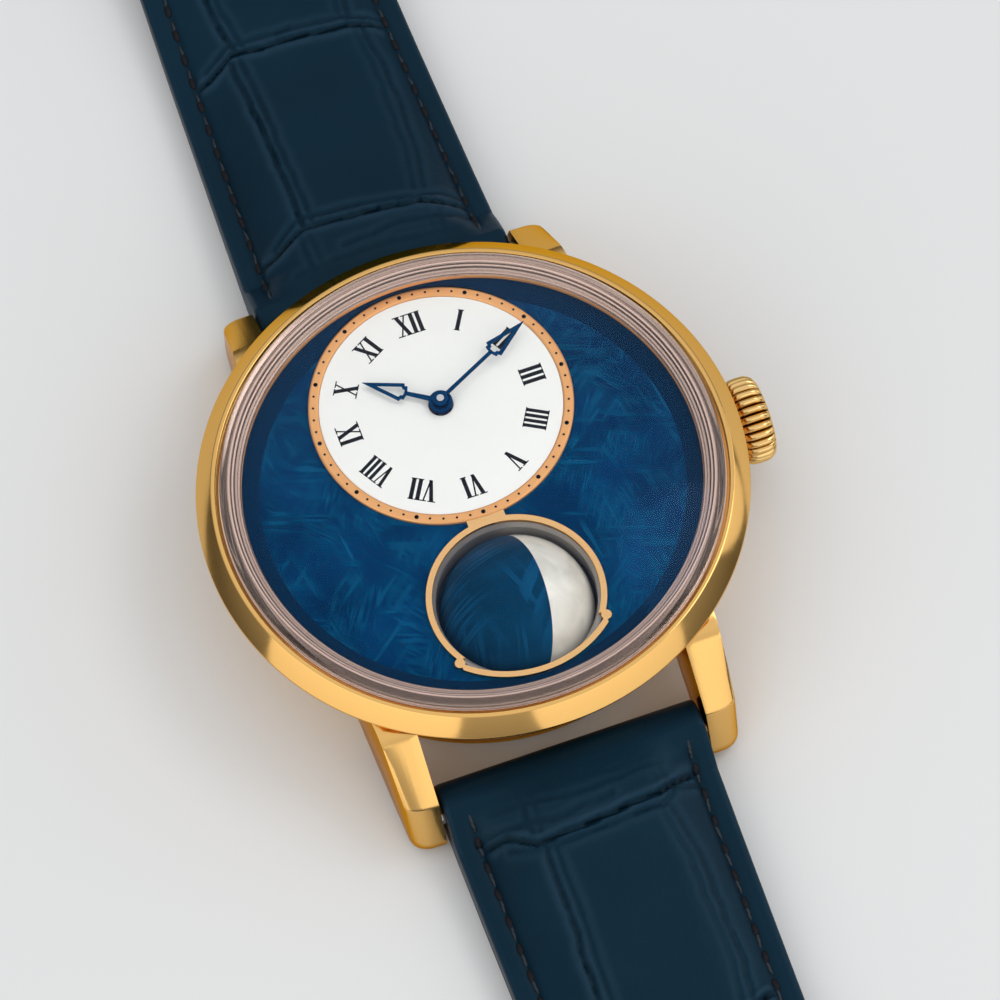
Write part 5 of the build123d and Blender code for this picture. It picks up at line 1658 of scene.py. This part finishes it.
class WATCH_OT_stitches(WatchOperator, bpy.types.Operator):
    """Sew the strap along its edges"""

    bl_idname = "watch.stitches"
    bl_label = "Stitches"

    def execute(self, context):
        """Build the stitches."""
        sizes = context.scene.watch_strap
        # the second row is black ink ovals between the stitches: painted shade for the shadowed stitch holes
        thread, hole = stitch_tree(finish("dark_thread")), stitch_tree(finish("black_ink"))
        for end, pointed, body in (("12", False, "strap_12"), ("6", True, "strap_6")):
            shape = StrapHalf(sizes, pointed)
            last = shape.length - (8.0 if pointed else 12.0)
            for name, tree, lift, shift, long, wide in (
                ("stitches_" + end, thread, 0.0, 0.0, sizes.stitch_length, sizes.thread_width),
                ("stitch_hole_shadows_" + end, hole, -0.02, 0.5, sizes.hole_shadow_length, 1.75 * sizes.thread_width),
            ):
                points, edges = [], []
                for side in (-1.0, 1.0):
                    s = np.arange(1.9 + shift * sizes.stitch_pitch / MM, last, 0.5)
                    x = side * (shape.half_width(s) - sizes.margin / MM)
                    z = shape.surface(x, s)[0] + lift
                    row = shape.to_world(x, s, z).tolist()
                    edges += [(len(points) + i, len(points) + i + 1) for i in range(len(row) - 1)]
                    points += row
                mesh = bpy.data.meshes.new(name)
                mesh.from_pydata(points, edges, [])
                line = linked(name, mesh)
                grown(line, tree, {"Pitch": sizes.stitch_pitch, "Length": long, "Thread": wide, "Seed": sizes.seed})
                settle(line, body, "strap_leather")
        return {"FINISHED"}


class WATCH_OT_keepers(WatchOperator, bpy.types.Operator):
    """Fold the two leather keepers"""

    bl_idname = "watch.keepers"
    bl_label = "Keepers"

    def execute(self, context):
        """Build the keepers."""
        for node in ("fixed_keeper", "sliding_keeper"):
            low, high = (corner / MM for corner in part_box(node))
            wall = 0.9
            loop = softened([
                (low.x + wall / 2, low.z + wall / 2, 1.1), (high.x - wall / 2, low.z + wall / 2, 1.1),
                (high.x - wall / 2, high.z - wall / 2, 1.3), (low.x + wall / 2, high.z - wall / 2, 1.3),
            ], 8)
            section = softened([
                (-wall / 2, low.y, 0.3), (wall / 2, low.y, 0.3), (wall / 2, high.y, 0.3), (-wall / 2, high.y, 0.3),
            ], 4)
            rings = []
            for i, (x, z) in enumerate(loop):
                before, after = Vector(loop[i - 1]), Vector(loop[(i + 1) % len(loop)])
                along = (after - before).normalized()
                out = Vector((along.y, -along.x))
                rings.append([((x + out.x * a) * MM, y * MM, (z + out.y * a) * MM) for a, y in section])
            stand_in(node, skin(rings, True), "plain_leather", "strap_leather", 60.0, node + "_leather")
        return {"FINISHED"}


class WATCH_OT_buckle(WatchOperator, bpy.types.Operator):
    """Finish the pin buckle with its bar and tongue"""

    bl_idname = "watch.buckle"
    bl_label = "Buckle"

    def execute(self, context):
        """Build the buckle."""
        dressed("buckle_frame", "bezel_gold", "case_gold", 0.4 * MM, 4)
        dressed("buckle_tongue", "bezel_gold", "case_gold", 0.22 * MM, 3)
        dressed("buckle_bar", "polished_steel", "steel", 0.08 * MM)
        return {"FINISHED"}


class WATCH_PT_build(bpy.types.Panel):
    """The steps of the watch, in order"""

    bl_idname = "WATCH_PT_build"
    bl_label = "Moon phase watch"
    bl_space_type = "VIEW_3D"
    bl_region_type = "UI"
    bl_category = "Watch"

    def draw(self, context):
        """List the steps and the sizes."""
        for step in steps:
            self.layout.operator(step.bl_idname)
        for name in ("watch_case", "watch_dial", "watch_strap", "watch_colours"):
            box = self.layout.box()
            group = getattr(context.scene, name)
            for key in group.__annotations__:
                box.prop(group, key)


steps = (
    WATCH_OT_stage, WATCH_OT_case, WATCH_OT_crystal, WATCH_OT_back, WATCH_OT_crown, WATCH_OT_dial,
    WATCH_OT_hour_disc, WATCH_OT_numerals, WATCH_OT_hands, WATCH_OT_moon, WATCH_OT_movement,
    WATCH_OT_fittings, WATCH_OT_strap, WATCH_OT_stitches, WATCH_OT_keepers, WATCH_OT_buckle,
)
groups = {
    "watch_case": WatchCaseSizes, "watch_dial": WatchDialSizes,
    "watch_strap": WatchStrapSizes, "watch_colours": WatchColours,
}


def register():
    """Register the sizes, the steps and the panel."""
    for name, group in groups.items():
        bpy.utils.register_class(group)
        setattr(bpy.types.Scene, name, bpy.props.PointerProperty(type=group))
    for step in steps:
        bpy.utils.register_class(step)
    bpy.utils.register_class(WATCH_PT_build)


def unregister():
    """Take back what register added."""
    bpy.utils.unregister_class(WATCH_PT_build)
    for step in reversed(steps):
        bpy.utils.unregister_class(step)
    for name, group in groups.items():
        delattr(bpy.types.Scene, name)
        bpy.utils.unregister_class(group)


def build_watch():
    """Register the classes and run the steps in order."""
    register()
    for step in steps:
        family, name = step.bl_idname.split(".")
        getattr(getattr(bpy.ops, family), name)()
    bpy.context.view_layer.update()


if __name__ == "__main__":
    build_watch()
